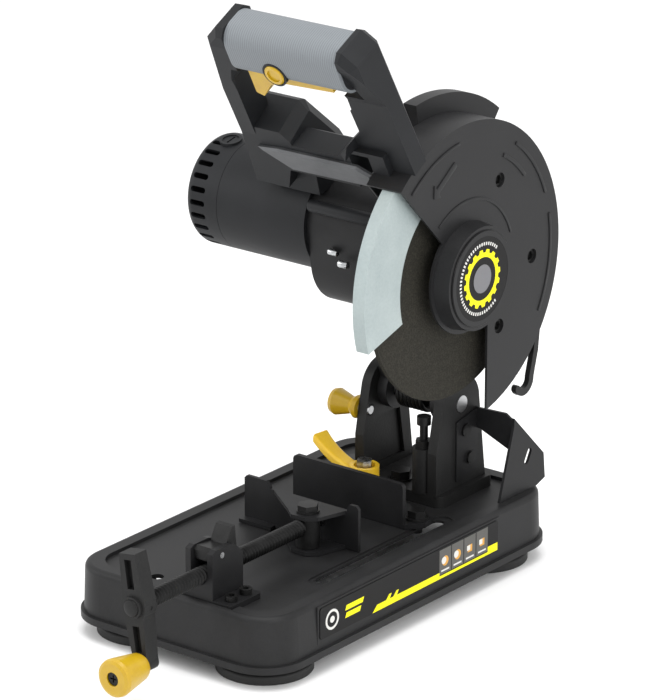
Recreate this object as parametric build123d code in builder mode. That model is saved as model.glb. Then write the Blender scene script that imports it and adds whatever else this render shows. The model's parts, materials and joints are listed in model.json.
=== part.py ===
from build123d import *
from math import atan2, cos, degrees, radians, sin, sqrt
import os

os.makedirs("parts", exist_ok=True)

# Abrasive chop saw for a 180 mm cutting disc. Millimetres, +Z up, +Y towards the
# hinge at the back, +X towards the cutting disc. The origin lies on the floor
# under the middle of the base.

# ---- driving dimensions ----
base_width = 175.0        # top of the base, along X
base_length = 318.0       # top of the base, along Y
base_top = 51.0
base_bottom = 12.0
corner_radius = 27.0
wall = 2.6
rim_width = 12.0
draft = 3.0               # how much wider the walls are at the foot
floor_top = base_top - 2.5
lip_reach = 4.0
lip_height = 5.0
label_face = 88.9

foot_radius = 33.0
foot_x, foot_y = 52.0, 122.0

screw_x, screw_z, screw_radius = 22.5, 67.5, 6.0
crank_y = -215.0
jaw_pivot_y = -38.0
jaw_face_y = -19.0
jaw_left, jaw_right = -46.0, 53.0
bracket_front, bracket_rear = -154.0, -122.0
nut_pin_y, nut_pin_z = -144.0, 82.0

fence_y = 31.0
fence_left, fence_right = -45.0, 51.0
fence_height = 33.0
fence_pivot = (52.0, 46.0)
clamp_stud = (-6.0, 62.0)

hinge_y, hinge_z = 105.0, 118.0

disc_x, disc_radius, disc_thickness = 61.0, 90.0, 3.0
disc_bore = 22.2
arbor_y, arbor_z = 70.0, 228.0
guard_radius = 107.5
guard_sheet = 1.8
guard_back_x, guard_face_x = 46.1, 75.0
lower_radius, lower_left, lower_face = 105.0, 58.0, 68.0

gear_module, gear_teeth, pinion_teeth = 1.0, 40, 8
gear_distance = gear_module * (gear_teeth + pinion_teeth) / 2
motor_y = arbor_y - 6.0
motor_z = arbor_z + sqrt(gear_distance ** 2 - 6.0 ** 2)
motor_radius = 39.5
motor_wall = 2.5
motor_left, motor_seam, motor_right = -137.0, -107.0, -30.0
gear_case_right = 46.0
shaft_clear = 0.05

handle_lean = 28.0
grip_y, grip_z = -36.0, 399.0


def finish(sub_part, name):
    """Labels one finished sub-part and writes it to its own file."""
    sub_part.label = name
    export_step(sub_part, f"parts/{name}.step")


def yz(x):
    """A plane across the X axis at x, with its own x along +Y and its y along +Z."""
    return Plane(origin=(x, 0, 0), x_dir=(0, 1, 0), z_dir=(1, 0, 0))


def xz(y):
    """A plane across the Y axis at y, with its own x along +X and its y along +Z."""
    return Plane(origin=(0, y, 0), x_dir=(1, 0, 0), z_dir=(0, -1, 0))


def polar(radius, angle, centre=(0.0, 0.0)):
    """A point at an angle in degrees round a centre."""
    turn = radians(angle)
    return (centre[0] + radius * cos(turn), centre[1] + radius * sin(turn))


def cylinder_x(y, z, radius, x_from, x_to, mode=Mode.ADD):
    """A round bar along X inside the part being built."""
    with BuildSketch(yz(x_from)) as outline:
        with Locations((y, z)):
            Circle(radius)
    extrude(outline.sketch, amount=x_to - x_from, mode=mode)


def cylinder_y(x, z, radius, y_from, y_to, mode=Mode.ADD):
    """A round bar along Y inside the part being built, y_from being the rear end."""
    with BuildSketch(xz(y_from)) as outline:
        with Locations((x, z)):
            Circle(radius)
    extrude(outline.sketch, amount=y_from - y_to, mode=mode)


def cylinder_z(x, y, radius, z_from, z_to, mode=Mode.ADD):
    """A round bar along Z inside the part being built."""
    with BuildSketch(Plane.XY.offset(z_from)) as outline:
        with Locations((x, y)):
            Circle(radius)
    extrude(outline.sketch, amount=z_to - z_from, mode=mode)


def hexagon_z(x, y, across, z_from, z_to):
    """A hexagonal head or nut along Z inside the part being built."""
    with BuildSketch(Plane.XY.offset(z_from)) as outline:
        with Locations((x, y)):
            RegularPolygon(across / 2, 6, major_radius=False)
    extrude(outline.sketch, amount=z_to - z_from)


def hexagon_x(y, z, across, x_from, x_to):
    """A hexagonal head or nut along X inside the part being built."""
    with BuildSketch(yz(x_from)) as outline:
        with Locations((y, z)):
            RegularPolygon(across / 2, 6, major_radius=False)
    extrude(outline.sketch, amount=x_to - x_from)


def box_between(low, high, mode=Mode.ADD):
    """A block from its low corner to its high corner."""
    size = [high[i] - low[i] for i in range(3)]
    middle = [(high[i] + low[i]) / 2 for i in range(3)]
    with Locations(tuple(middle)):
        Box(*size, mode=mode)


# ================= base =================
slot_y, slot_half = -7.0, 70.0
bench_holes = ((-28.0, -137.0), (-66.0, 137.0))
bracket_bolts = ((-35.5, 87.0), (-35.5, 129.0), (5.0, 129.0), (5.0, 90.0))
vise_screws = ((6.0, -145.5), (6.0, -130.5), (43.0, -145.5), (43.0, -130.5))
feet = ((-foot_x, -foot_y), (foot_x, -foot_y), (-foot_x, foot_y), (foot_x, foot_y))
boss_radius = 8.0

with BuildPart() as base_shell:
    with BuildSketch(Plane.XY.offset(base_bottom + lip_height - 1.0)):
        RectangleRounded(base_width + draft, base_length + draft, corner_radius + 2)
    with BuildSketch(Plane.XY.offset(base_top)):
        RectangleRounded(base_width, base_length, corner_radius)
    loft()
    fillet(base_shell.faces().sort_by(Axis.Z)[-1].edges(), radius=4.0)
    with BuildSketch(Plane.XY.offset(base_bottom)):
        RectangleRounded(base_width + 2 * lip_reach, base_length + 2 * lip_reach, corner_radius + 5)
    extrude(amount=lip_height)
    with BuildSketch(Plane.XY.offset(base_bottom)):
        RectangleRounded(base_width + draft - 2 * wall, base_length + draft - 2 * wall, corner_radius)
    with BuildSketch(Plane.XY.offset(floor_top - 3.0)):
        RectangleRounded(base_width - 2 * wall, base_length - 2 * wall, corner_radius - wall)
    loft(mode=Mode.SUBTRACT)
    with BuildSketch(Plane.XY.offset(base_top)):
        RectangleRounded(base_width - 2 * rim_width, base_length - 2 * rim_width, corner_radius - 8)
    extrude(amount=-(base_top - floor_top), mode=Mode.SUBTRACT)
    box_between((84.0, -112.0, 21.0), (label_face, 92.0, 48.0))
    box_between((80.0, -110.0, 18.0), (85.2, 90.0, floor_top - 3.0), mode=Mode.SUBTRACT)
    box_between((-2.0, bracket_front - 0.5, floor_top), (51.0, -140.0, base_top + 1.0), mode=Mode.SUBTRACT)
    with Locations((foot_x, -foot_y, 0), (foot_x, foot_y, 0), (-foot_x, -foot_y, 0), (-foot_x, foot_y, 0)):
        with Locations((0, 0, (base_bottom + floor_top - 2) / 2)):
            Cylinder(boss_radius, floor_top - 2 - base_bottom)
    with BuildSketch(Plane.XY.offset(floor_top)):
        with Locations((disc_x + 1.0, slot_y)):
            SlotOverall(2 * slot_half + 12, 15.0, rotation=90)
    extrude(amount=-1.2, mode=Mode.SUBTRACT)
    with BuildSketch(Plane.XY.offset(floor_top)):
        with Locations((disc_x, slot_y)):
            SlotOverall(2 * slot_half, 9.0, rotation=90)
    extrude(amount=-8.0, mode=Mode.SUBTRACT)
    with Locations(*[(x, y, floor_top) for x, y in bench_holes]):
        Hole(4.5, depth=8.0)
    with Locations(*[(x, y, base_bottom) for x, y in feet]):
        Cylinder(2.1, 22.0, align=(Align.CENTER, Align.CENTER, Align.MIN), mode=Mode.SUBTRACT)
    with Locations(*[(x, y, floor_top) for x, y in bracket_bolts]):
        Hole(4.2, depth=8.0)
    with Locations(*[(x, y, floor_top) for x, y in vise_screws]):
        Hole(2.6, depth=8.0)
    with Locations((fence_pivot[0], fence_pivot[1], floor_top)):
        Hole(4.2, depth=8.0)
    slot_reach = sqrt((clamp_stud[0] - fence_pivot[0]) ** 2 + (clamp_stud[1] - fence_pivot[1]) ** 2)
    slot_start = degrees(atan2(clamp_stud[1] - fence_pivot[1], clamp_stud[0] - fence_pivot[0]))
    with BuildSketch(Plane.XY.offset(floor_top)):
        with Locations(fence_pivot):
            SlotArc(CenterArc((0, 0), slot_reach, slot_start, 28), 8.6)
    extrude(amount=-8.0, mode=Mode.SUBTRACT)
finish(base_shell.part, "base_shell")

with BuildPart() as rubber_feet:
    with Locations(*[(x, y, 0) for x, y in feet]):
        Cylinder(foot_radius, 6.5, align=(Align.CENTER, Align.CENTER, Align.MIN))
        with Locations((0, 0, 6.5)):
            Cylinder(foot_radius - 3.0, base_bottom - 6.5, align=(Align.CENTER, Align.CENTER, Align.MIN))
        CounterBoreHole(2.3, 5.0, 4.0, depth=30.0)
    top_edges = rubber_feet.edges().filter_by(GeomType.CIRCLE).filter_by_position(Axis.Z, 6.4, 6.6)
    fillet([e for e in top_edges if e.radius > foot_radius - 0.5], radius=2.2)
finish(rubber_feet.part, "rubber_feet")

with BuildPart() as foot_screws:
    for foot in feet:
        cylinder_z(foot[0], foot[1], 4.6, 2.6, 5.0)
        cylinder_z(foot[0], foot[1], 2.1, 5.0, 26.0)
finish(foot_screws.part, "foot_screws")

with BuildPart() as base_label:
    box_between((label_face, -110.0, 24.0), (label_face + 0.6, 90.0, 46.5))
    fillet(base_label.edges().filter_by(Axis.X), radius=2.0)
finish(base_label.part, "base_label")

# ================= vise =================
foot_plate_top = floor_top + 4.0
cheek_top = 87.0
cheek_low, cheek_high = screw_x - 11.5, screw_x + 11.5
cheek_thickness = 4.4

with BuildPart() as vise_bracket:
    box_between((-1.0, bracket_front, floor_top), (50.0, bracket_rear, foot_plate_top))
    fillet(vise_bracket.edges().filter_by(Axis.Z), radius=3.0)
    for left in (cheek_low, cheek_high - cheek_thickness):
        with BuildSketch(yz(left)):
            with BuildLine():
                Polyline(
                    (bracket_front, foot_plate_top),
                    (bracket_front, cheek_top - 2),
                    (bracket_front + 4, cheek_top),
                    (bracket_rear - 14, cheek_top),
                )
                Line((bracket_rear - 14, cheek_top), (bracket_rear - 9, cheek_top - 1))
                Line((bracket_rear - 9, cheek_top - 1), (bracket_rear, cheek_top - 9))
                Line((bracket_rear, cheek_top - 9), (bracket_rear, foot_plate_top))
                Line((bracket_rear, foot_plate_top), (bracket_front, foot_plate_top))
            make_face()
        extrude(amount=cheek_thickness)
    box_between((cheek_low, bracket_front, foot_plate_top), (cheek_high, bracket_rear, screw_z - 0.2))
    cylinder_y(screw_x, screw_z, screw_radius + 0.3, bracket_rear + 1, bracket_front - 1, Mode.SUBTRACT)
    cylinder_x(nut_pin_y, nut_pin_z, 2.0, cheek_low - 1, cheek_high + 1, Mode.SUBTRACT)
    with Locations(*[(x, y, foot_plate_top) for x, y in vise_screws]):
        Hole(2.8, depth=5.0)
finish(vise_bracket.part, "vise_bracket")

nut_left = cheek_low + cheek_thickness + 0.4
nut_width = 2 * (screw_x - nut_left)
with BuildPart() as half_nut:
    with BuildSketch(yz(nut_left)):
        with BuildLine():
            Polyline(
                (nut_pin_y - 6.0, nut_pin_z - 4.5),
                (nut_pin_y - 7.0, nut_pin_z + 2.0),
                (nut_pin_y - 4.0, cheek_top - 0.5),
                (bracket_front + 20.0, cheek_top - 2.0),
                (bracket_front + 26.0, cheek_top + 8.5),
                (bracket_front + 29.5, cheek_top + 9.0),
                (bracket_front + 31.0, cheek_top - 5.0),
                (bracket_front + 31.0, screw_z + 1.0),
                (nut_pin_y + 3.0, screw_z + 1.0),
                (nut_pin_y - 1.0, nut_pin_z - 8.0),
                (nut_pin_y - 6.0, nut_pin_z - 4.5),
            )
        make_face()
    extrude(amount=nut_width)
    cylinder_y(screw_x, screw_z, screw_radius + 0.3, bracket_rear + 1, bracket_front - 1, Mode.SUBTRACT)
    cylinder_x(nut_pin_y, nut_pin_z, 2.0 + shaft_clear, cheek_low - 1, cheek_high + 1, Mode.SUBTRACT)
finish(half_nut.part, "half_nut")

with BuildPart() as nut_pin:
    cylinder_x(nut_pin_y, nut_pin_z, 2.0, cheek_low - 0.4, cheek_high + 0.4)
finish(nut_pin.part, "nut_pin")

with BuildPart() as bracket_screws:
    for place in vise_screws:
        cylinder_z(place[0], place[1], 2.5, floor_top - 5.0, foot_plate_top)
        cylinder_z(place[0], place[1], 4.3, foot_plate_top, foot_plate_top + 4.0)
    with Locations(*[(x, y, foot_plate_top + 4.0) for x, y in vise_screws]):
        with BuildSketch(Plane.XY.offset(foot_plate_top + 4.0)):
            with Locations(*vise_screws):
                RegularPolygon(2.0, 6, major_radius=False)
    extrude(amount=-2.5, mode=Mode.SUBTRACT)
finish(bracket_screws.part, "bracket_screws")

barrel_radius = 8.4
gusset_low, gusset_high = floor_top + 0.5, 74.2
with BuildPart() as vise_screw:
    cylinder_y(screw_x, screw_z, screw_radius, jaw_pivot_y - 9.0, crank_y - 9.0)
    cylinder_y(screw_x, screw_z, 3.4, jaw_pivot_y + 9.0, jaw_pivot_y - 9.0)
    chamfer(vise_screw.edges().filter_by(GeomType.CIRCLE).sort_by(Axis.Y)[0], length=1.0)
    cylinder_y(screw_x, screw_z, 5.5, jaw_pivot_y + 12.4, jaw_pivot_y + 8.8)
    cylinder_x(crank_y, screw_z, 1.5, screw_x - 12, screw_x + 12, Mode.SUBTRACT)
finish(vise_screw.part, "vise_screw")

with BuildPart() as swivel_block:
    cylinder_z(screw_x, jaw_pivot_y, barrel_radius, gusset_low + 3.1, gusset_high - 0.3)
    cylinder_y(screw_x, screw_z, 3.4 + shaft_clear, jaw_pivot_y + 12, jaw_pivot_y - 12, Mode.SUBTRACT)
finish(swivel_block.part, "swivel_block")

arm_tilt = radians(8.0)
knob_reach, stub_reach = 40.0, 36.0
knob_x = screw_x + knob_reach * sin(arm_tilt)
knob_z = screw_z - knob_reach * cos(arm_tilt)
stub_x = screw_x - stub_reach * sin(arm_tilt)
stub_z = screw_z + stub_reach * cos(arm_tilt)

with BuildPart() as crank_arm:
    with BuildSketch(xz(crank_y + 6.0)):
        with BuildLine():
            Polyline(
                (stub_x - 6.5, stub_z - 0.5),
                (stub_x + 6.5, stub_z + 1.5),
                (screw_x + 9.5, screw_z + 4.0),
                (screw_x + 8.5, screw_z - 8.0),
                (knob_x + 5.0, knob_z + 1.0),
                (knob_x - 5.5, knob_z - 1.0),
                (screw_x - 7.5, screw_z - 10.0),
                (screw_x - 9.0, screw_z + 2.0),
                close=True,
            )
        make_face()
        with Locations((knob_x, knob_z)):
            Circle(5.6)
        with Locations((screw_x, screw_z)):
            Circle(10.0)
    extrude(amount=12.0)
    for top, bottom in ((stub_z - 3.5, screw_z + 12.0), (screw_z - 13.0, knob_z + 8.0)):
        middle = (top + bottom) / 2
        middle_x = screw_x + (screw_z - middle) * sin(arm_tilt) / cos(arm_tilt)
        with BuildSketch(xz(crank_y - 6.0)):
            with Locations((middle_x, middle)):
                Rectangle(5.6, top - bottom, rotation=8.0)
        extrude(amount=-4.0, mode=Mode.SUBTRACT)
    cylinder_y(screw_x, screw_z, 7.5, crank_y - 5.9, crank_y - 8.0)
    cylinder_y(screw_x, screw_z, screw_radius, crank_y + 7, crank_y - 8.1, Mode.SUBTRACT)
    cylinder_y(knob_x, knob_z, 2.8, crank_y + 7, crank_y - 7, Mode.SUBTRACT)
    cylinder_x(crank_y, screw_z, 1.5, screw_x - 12, screw_x + 12, Mode.SUBTRACT)
finish(crank_arm.part, "crank_arm")

knob_small_y = crank_y - 6.3
knob_big_y = knob_small_y - 28.0
with BuildPart() as crank_knob:
    with BuildSketch(Plane.YZ.offset(knob_x)):
        with BuildLine():
            Polyline(
                (knob_small_y, knob_z),
                (knob_small_y, knob_z + 8.5),
                (knob_small_y - 2, knob_z + 9.5),
                (knob_big_y + 3.5, knob_z + 13.2),
                (knob_big_y + 1.0, knob_z + 12.6),
                (knob_big_y, knob_z + 10.5),
                (knob_big_y, knob_z),
                close=True,
            )
        make_face()
    revolve(axis=Axis((knob_x, 0, knob_z), (0, 1, 0)))
    cylinder_y(knob_x, knob_z, 4.85, knob_big_y + 4.0, knob_big_y - 1, Mode.SUBTRACT)
    cylinder_y(knob_x, knob_z, 2.85, knob_small_y + 1, knob_big_y - 1, Mode.SUBTRACT)
finish(crank_knob.part, "crank_knob")

with BuildPart() as crank_fixings:
    cylinder_x(crank_y, screw_z, 1.5, screw_x - 9.6, screw_x + 9.6)
    cylinder_y(knob_x, knob_z, 2.8, crank_y + 6.0, knob_big_y + 3.6)
    cylinder_y(knob_x, knob_z, 4.5, knob_big_y + 3.7, knob_big_y + 1.0)
    for turn in (0, 90):
        with BuildSketch(xz(knob_big_y + 1.0)):
            with Locations((knob_x, knob_z)):
                Rectangle(5.2, 1.1, rotation=turn)
        extrude(amount=-1.5, mode=Mode.SUBTRACT)
finish(crank_fixings.part, "crank_fixings")

# ---- moving jaw: a folded plate with two ears, pivoted on the swivel block ----
jaw_sheet = 2.6
jaw_notch_top, jaw_ear_top = gusset_high + jaw_sheet, 82.0

with BuildPart() as movable_jaw:
    with BuildSketch(xz(jaw_face_y)):
        with BuildLine():
            Polyline(
                (jaw_left, gusset_low),
                (jaw_left, jaw_ear_top - 2),
                (jaw_left + 2, jaw_ear_top),
                (jaw_left + 19, jaw_ear_top),
                (jaw_left + 22, jaw_ear_top - 3),
                (jaw_left + 22.5, jaw_notch_top),
                (jaw_right - 10.0, jaw_notch_top),
                (jaw_right - 9.0, jaw_ear_top - 1.5),
                (jaw_right - 7.5, jaw_ear_top),
                (jaw_right - 2, jaw_ear_top),
                (jaw_right, jaw_ear_top - 2),
                (jaw_right, gusset_low),
                close=True,
            )
        make_face()
    extrude(amount=jaw_sheet)
    for height in (gusset_high, gusset_low):
        with BuildSketch(Plane.XY.offset(height)):
            with BuildLine():
                Polyline(
                    (jaw_left + 22.5, jaw_face_y),
                    (jaw_right - 10.0, jaw_face_y),
                    (screw_x + 13.0, jaw_pivot_y - 5.0),
                    (screw_x + 6.0, jaw_pivot_y - 11.0),
                    (screw_x - 6.0, jaw_pivot_y - 11.0),
                    (screw_x - 13.0, jaw_pivot_y - 5.0),
                    close=True,
                )
            make_face()
        extrude(amount=jaw_sheet)
    box_between((jaw_left, jaw_face_y - 9.0, gusset_low), (jaw_left + 28, jaw_face_y, gusset_low + jaw_sheet))
    cylinder_z(screw_x, jaw_pivot_y, 4.1, gusset_high - 1, gusset_high + 6, Mode.SUBTRACT)
    cylinder_z(screw_x, jaw_pivot_y, 4.1, gusset_low - 1, gusset_low + 6, Mode.SUBTRACT)
finish(movable_jaw.part, "movable_jaw")

with BuildPart() as jaw_pivot_bolts:
    cylinder_z(screw_x, jaw_pivot_y, 4.0, gusset_high - 0.3, jaw_notch_top)
    cylinder_z(screw_x, jaw_pivot_y, 8.0, jaw_notch_top + 0.05, jaw_notch_top + 1.4)
    hexagon_z(screw_x, jaw_pivot_y, 13.0, jaw_notch_top + 1.4, jaw_notch_top + 5.4)
    cylinder_z(screw_x, jaw_pivot_y, 4.0, gusset_low + 0.1, gusset_low + 3.1)
finish(jaw_pivot_bolts.part, "jaw_pivot_bolts")

# ================= fence and its clamp =================
fence_sheet = 3.5
fence_foot_rear = 72.5

with BuildPart() as fence:
    box_between((fence_left, fence_y, floor_top + 0.3), (fence_right, fence_y + fence_sheet, floor_top + fence_height))
    fillet(fence.edges().filter_by(Axis.Y).group_by(Axis.Z)[-1], radius=3.5)
    with BuildSketch(Plane.XY.offset(floor_top + 0.3)):
        with BuildLine():
            Polyline(
                (fence_left, fence_y),
                (fence_pivot[0] + 1, fence_y),
                (fence_pivot[0] + 10, fence_pivot[1] - 4),
                (fence_pivot[0] + 8, fence_pivot[1] + 8),
                (fence_pivot[0] - 6, fence_pivot[1] + 12),
                (clamp_stud[0] + 16, fence_foot_rear),
                (clamp_stud[0] - 12, fence_foot_rear),
                (fence_left, fence_y + 12),
                close=True,
            )
        make_face()
    extrude(amount=fence_sheet)
    cylinder_z(fence_pivot[0], fence_pivot[1], 4.1, floor_top, floor_top + 9, Mode.SUBTRACT)
    cylinder_z(clamp_stud[0], clamp_stud[1], 4.1, floor_top, floor_top + 9, Mode.SUBTRACT)
finish(fence.part, "fence")

fence_foot_top = floor_top + 0.3 + fence_sheet
with BuildPart() as fence_pivot_bolt:
    cylinder_z(fence_pivot[0], fence_pivot[1], 4.0, floor_top - 6.0, fence_foot_top + 0.2)
    cylinder_z(fence_pivot[0], fence_pivot[1], 8.2, fence_foot_top + 0.2, fence_foot_top + 1.8)
    hexagon_z(fence_pivot[0], fence_pivot[1], 12.0, fence_foot_top + 1.8, fence_foot_top + 6.8)
finish(fence_pivot_bolt.part, "fence_pivot_bolt")

lever_low = fence_foot_top + 9.0
with BuildPart() as clamp_stud_bolt:
    cylinder_z(clamp_stud[0], clamp_stud[1], 4.0, floor_top - 6.0, lever_low + 9.0)
    hexagon_z(clamp_stud[0], clamp_stud[1], 10.0, lever_low + 10.3, lever_low + 16.0)
    cylinder_z(clamp_stud[0], clamp_stud[1], 4.0, lever_low + 8.9, lever_low + 10.4)
    cylinder_z(clamp_stud[0], clamp_stud[1], 8.0, fence_foot_top + 0.2, lever_low - 0.1)
finish(clamp_stud_bolt.part, "clamp_stud_bolt")

lever_angle = 172.0
lever_length = 44.0


def across_lever(reach, height):
    """A plane across the lever's arm, at a reach from the stud."""
    spot = polar(reach, lever_angle, clamp_stud)
    way = polar(1.0, lever_angle)
    return Plane(origin=(spot[0], spot[1], height), x_dir=(-way[1], way[0], 0), z_dir=(way[0], way[1], 0))


with BuildPart() as clamp_lever:
    with BuildSketch(across_lever(7.0, lever_low + 5.0)):
        RectangleRounded(12.0, 8.0, 2.5)
    with BuildSketch(across_lever(24.0, lever_low + 9.0)):
        RectangleRounded(12.0, 8.0, 2.5)
    with BuildSketch(across_lever(lever_length, lever_low + 21.0)):
        RectangleRounded(15.0, 7.0, 2.5)
    loft()
    cylinder_z(clamp_stud[0], clamp_stud[1], 10.5, lever_low, lever_low + 12.0)
    cylinder_z(clamp_stud[0], clamp_stud[1], 7.6, lever_low + 8.9, lever_low + 40, Mode.SUBTRACT)
    cylinder_z(clamp_stud[0], clamp_stud[1], 4.1, lever_low - 1, lever_low + 30, Mode.SUBTRACT)
finish(clamp_lever.part, "clamp_lever")

# ================= pivot bracket =================
bracket_base_top = 57.0
left_cheek, right_cheek = -25.0, 38.5
cheek_width = 7.5
hub_radius = 21.0
hinge = (hinge_y, hinge_z)
hinge_pin_radius = 6.0
stop_x, stop_y, stop_head_top = 30.0, 83.0, 111.8
lock_y, lock_z = 84.0, 105.0
deflector_screw_places = ((108.0, 98.0), (114.0, 76.0))

with BuildPart() as pivot_bracket:
    box_between((-46.0, 76.0, floor_top), (50.0, 140.0, bracket_base_top))
    fillet(pivot_bracket.edges().filter_by(Axis.Z), radius=7.0)
    for left in (left_cheek, right_cheek):
        with BuildSketch(yz(left)):
            with BuildLine():
                Polyline(
                    (76.0, bracket_base_top - 1),
                    (76.0, 88.0),
                    (83.5, 124.0),
                )
                ThreePointArc((83.5, 124.0), polar(hub_radius, 90, hinge), (126.0, 118.0))
                Polyline((126.0, 118.0), (134.0, bracket_base_top - 1), (76.0, bracket_base_top - 1))
            make_face()
        extrude(amount=cheek_width)
    for left in (left_cheek + 5.0, right_cheek - 1.0):
        with BuildSketch(yz(left)):
            with BuildLine():
                Polyline((82.0, 62.0), (82.0, 86.0), (92.0, 98.0), (118.0, 98.0), (124.0, 62.0), close=True)
            make_face()
        extrude(amount=3.5, mode=Mode.SUBTRACT)
    cylinder_z(stop_x, stop_y, 8.0, bracket_base_top - 1, 89.0)
    cylinder_x(hinge_y, hinge_z, hinge_pin_radius, -40.0, 60.0, Mode.SUBTRACT)
    cylinder_x(lock_y, lock_z, 4.0 + shaft_clear, left_cheek - 5, left_cheek + 10, Mode.SUBTRACT)
    cylinder_z(stop_x, stop_y, 3.0, 60.0, 95.0, Mode.SUBTRACT)
    with Locations(*[(x, y, bracket_base_top) for x, y in bracket_bolts]):
        Hole(4.2, depth=12.0)
    for place in deflector_screw_places:
        cylinder_x(place[0], place[1], 2.5, right_cheek + 4, right_cheek + 9, Mode.SUBTRACT)
finish(pivot_bracket.part, "pivot_bracket")

with BuildPart() as bracket_base_bolts:
    for place in bracket_bolts:
        cylinder_z(place[0], place[1], 4.0, floor_top - 9.0, bracket_base_top)
        cylinder_z(place[0], place[1], 8.5, bracket_base_top, bracket_base_top + 1.6)
        hexagon_z(place[0], place[1], 13.0, bracket_base_top + 1.6, bracket_base_top + 7.0)
        hexagon_z(place[0], place[1], 13.0, floor_top - 9.0, floor_top - 3.0)
finish(bracket_base_bolts.part, "bracket_base_bolts")

with BuildPart() as hinge_pin:
    cylinder_x(hinge_y, hinge_z, hinge_pin_radius, left_cheek - 1.5, 46.6)
    cylinder_x(hinge_y, hinge_z, 9.0, left_cheek - 4.5, left_cheek)
finish(hinge_pin.part, "hinge_pin")

coil_inner, wire = 9.0, 3.2
with BuildPart() as torsion_spring:
    for turn in range(8):
        with BuildSketch(Plane.XY.offset(hinge_z)):
            with Locations((-3.5 + turn * wire * 1.05, hinge_y + coil_inner + wire / 2)):
                Circle(wire / 2)
    revolve(axis=Axis((0, hinge_y, hinge_z), (1, 0, 0)))
    box_between((-5.1, hinge_y + coil_inner, hinge_z - 1), (19.9, hinge_y + coil_inner + 1.0, hinge_z + 1))
finish(torsion_spring.part, "torsion_spring")

with BuildPart() as depth_stop_screw:
    cylinder_z(stop_x, stop_y, 2.95, 62.0, stop_head_top - 5.0)
    cylinder_z(stop_x, stop_y, 5.0, stop_head_top - 6.0, stop_head_top)
    hexagon_z(stop_x, stop_y, 11.0, 89.1, 94.5)
finish(depth_stop_screw.part, "depth_stop_screw")

with BuildPart() as lock_pin:
    cylinder_x(lock_y, lock_z, 4.0, left_cheek - 16.0, left_cheek + cheek_width + 0.4)
    chamfer(lock_pin.edges().filter_by(GeomType.CIRCLE).sort_by(Axis.X)[-1], length=1.0)
finish(lock_pin.part, "lock_pin")

knob_right = left_cheek - 1.0
with BuildPart() as lock_knob:
    with BuildSketch(Plane.XY.offset(lock_z)):
        with BuildLine():
            Polyline(
                (knob_right, lock_y),
                (knob_right, lock_y + 8.0),
                (knob_right - 3.0, lock_y + 8.5),
                (knob_right - 7.0, lock_y + 6.0),
                (knob_right - 12.0, lock_y + 7.5),
                (knob_right - 20.0, lock_y + 9.8),
                (knob_right - 23.0, lock_y + 9.0),
                (knob_right - 24.0, lock_y + 7.0),
                (knob_right - 24.0, lock_y),
                close=True,
            )
        make_face()
    revolve(axis=Axis((0, lock_y, lock_z), (1, 0, 0)))
    cylinder_x(lock_y, lock_z, 4.0, left_cheek - 16.0, left_cheek + 1, Mode.SUBTRACT)
finish(lock_knob.part, "lock_knob")

# ---- spark deflector: a folded plate behind the disc ----
deflector_sheet = 2.0
deflector_leg_x = right_cheek + cheek_width + 0.1
deflector_side_x = 78.0
deflector_y = 121.0

with BuildPart() as spark_deflector:
    with BuildSketch(yz(deflector_leg_x)):
        with BuildLine():
            Polyline((98.0, 62.0), (98.0, 106.0), (deflector_y + 2, 111.0), (deflector_y + 2, 66.0), close=True)
        make_face()
    extrude(amount=1.3)
    with BuildSketch(xz(deflector_y + deflector_sheet)):
        with BuildLine():
            Polyline(
                (deflector_leg_x, 111.0),
                (deflector_side_x - 6, 112.0),
                (deflector_side_x + 2, 107.0),
                (deflector_side_x + 2, 84.0),
                (deflector_leg_x + 4, 96.0),
                (deflector_leg_x, 96.0),
                close=True,
            )
        make_face()
    extrude(amount=deflector_sheet)
    with BuildSketch(yz(deflector_side_x)):
        with BuildLine():
            Polyline(
                (deflector_y, 110.0),
                (157.0, 74.0),
                (159.0, 55.0),
                (148.0, 51.6),
                (105.0, 51.6),
                (deflector_y, 104.0),
                close=True,
            )
        make_face()
        with Locations((138.0, 77.0)):
            SlotOverall(12.0, 5.0, rotation=60, mode=Mode.SUBTRACT)
    extrude(amount=deflector_sheet)
    for place in deflector_screw_places:
        cylinder_x(place[0], place[1], 2.6, deflector_leg_x - 1, deflector_leg_x + 3, Mode.SUBTRACT)
finish(spark_deflector.part, "spark_deflector")

with BuildPart() as deflector_screws:
    for place in deflector_screw_places:
        cylinder_x(place[0], place[1], 2.5, right_cheek + 4.2, deflector_leg_x + 1.3)
        cylinder_x(place[0], place[1], 4.6, deflector_leg_x + 1.3, deflector_leg_x + 2.9)
finish(deflector_screws.part, "deflector_screws")

# ================= swing arm and gear case =================
arbor = (arbor_y, arbor_z)
motor = (motor_y, motor_z)
arm_left, arm_right = -16.5, 37.5
lug_width = 8.0
lug_radius = 15.0
arm_angle = degrees(atan2(arbor_z - hinge_z, arbor_y - hinge_y))
arm_length = sqrt((arbor_y - hinge_y) ** 2 + (arbor_z - hinge_z) ** 2)
gear_case_left, gear_case_wall = motor_right, 3.5


def along_arm(reach, offset):
    """A point at a reach from the hinge towards the arbor, offset to the rear."""
    way = polar(1.0, arm_angle)
    return (hinge_y + reach * way[0] + offset * way[1], hinge_z + reach * way[1] - offset * way[0])


def case_outline(grow):
    """The gear case's outline: a round part on each shaft, and the web between."""
    with BuildSketch(Plane.XY) as outline:
        with Locations(motor):
            Circle(36.0 + grow)
        with Locations(arbor):
            Circle(38.0 + grow)
        make_hull()
    return outline.sketch


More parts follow.
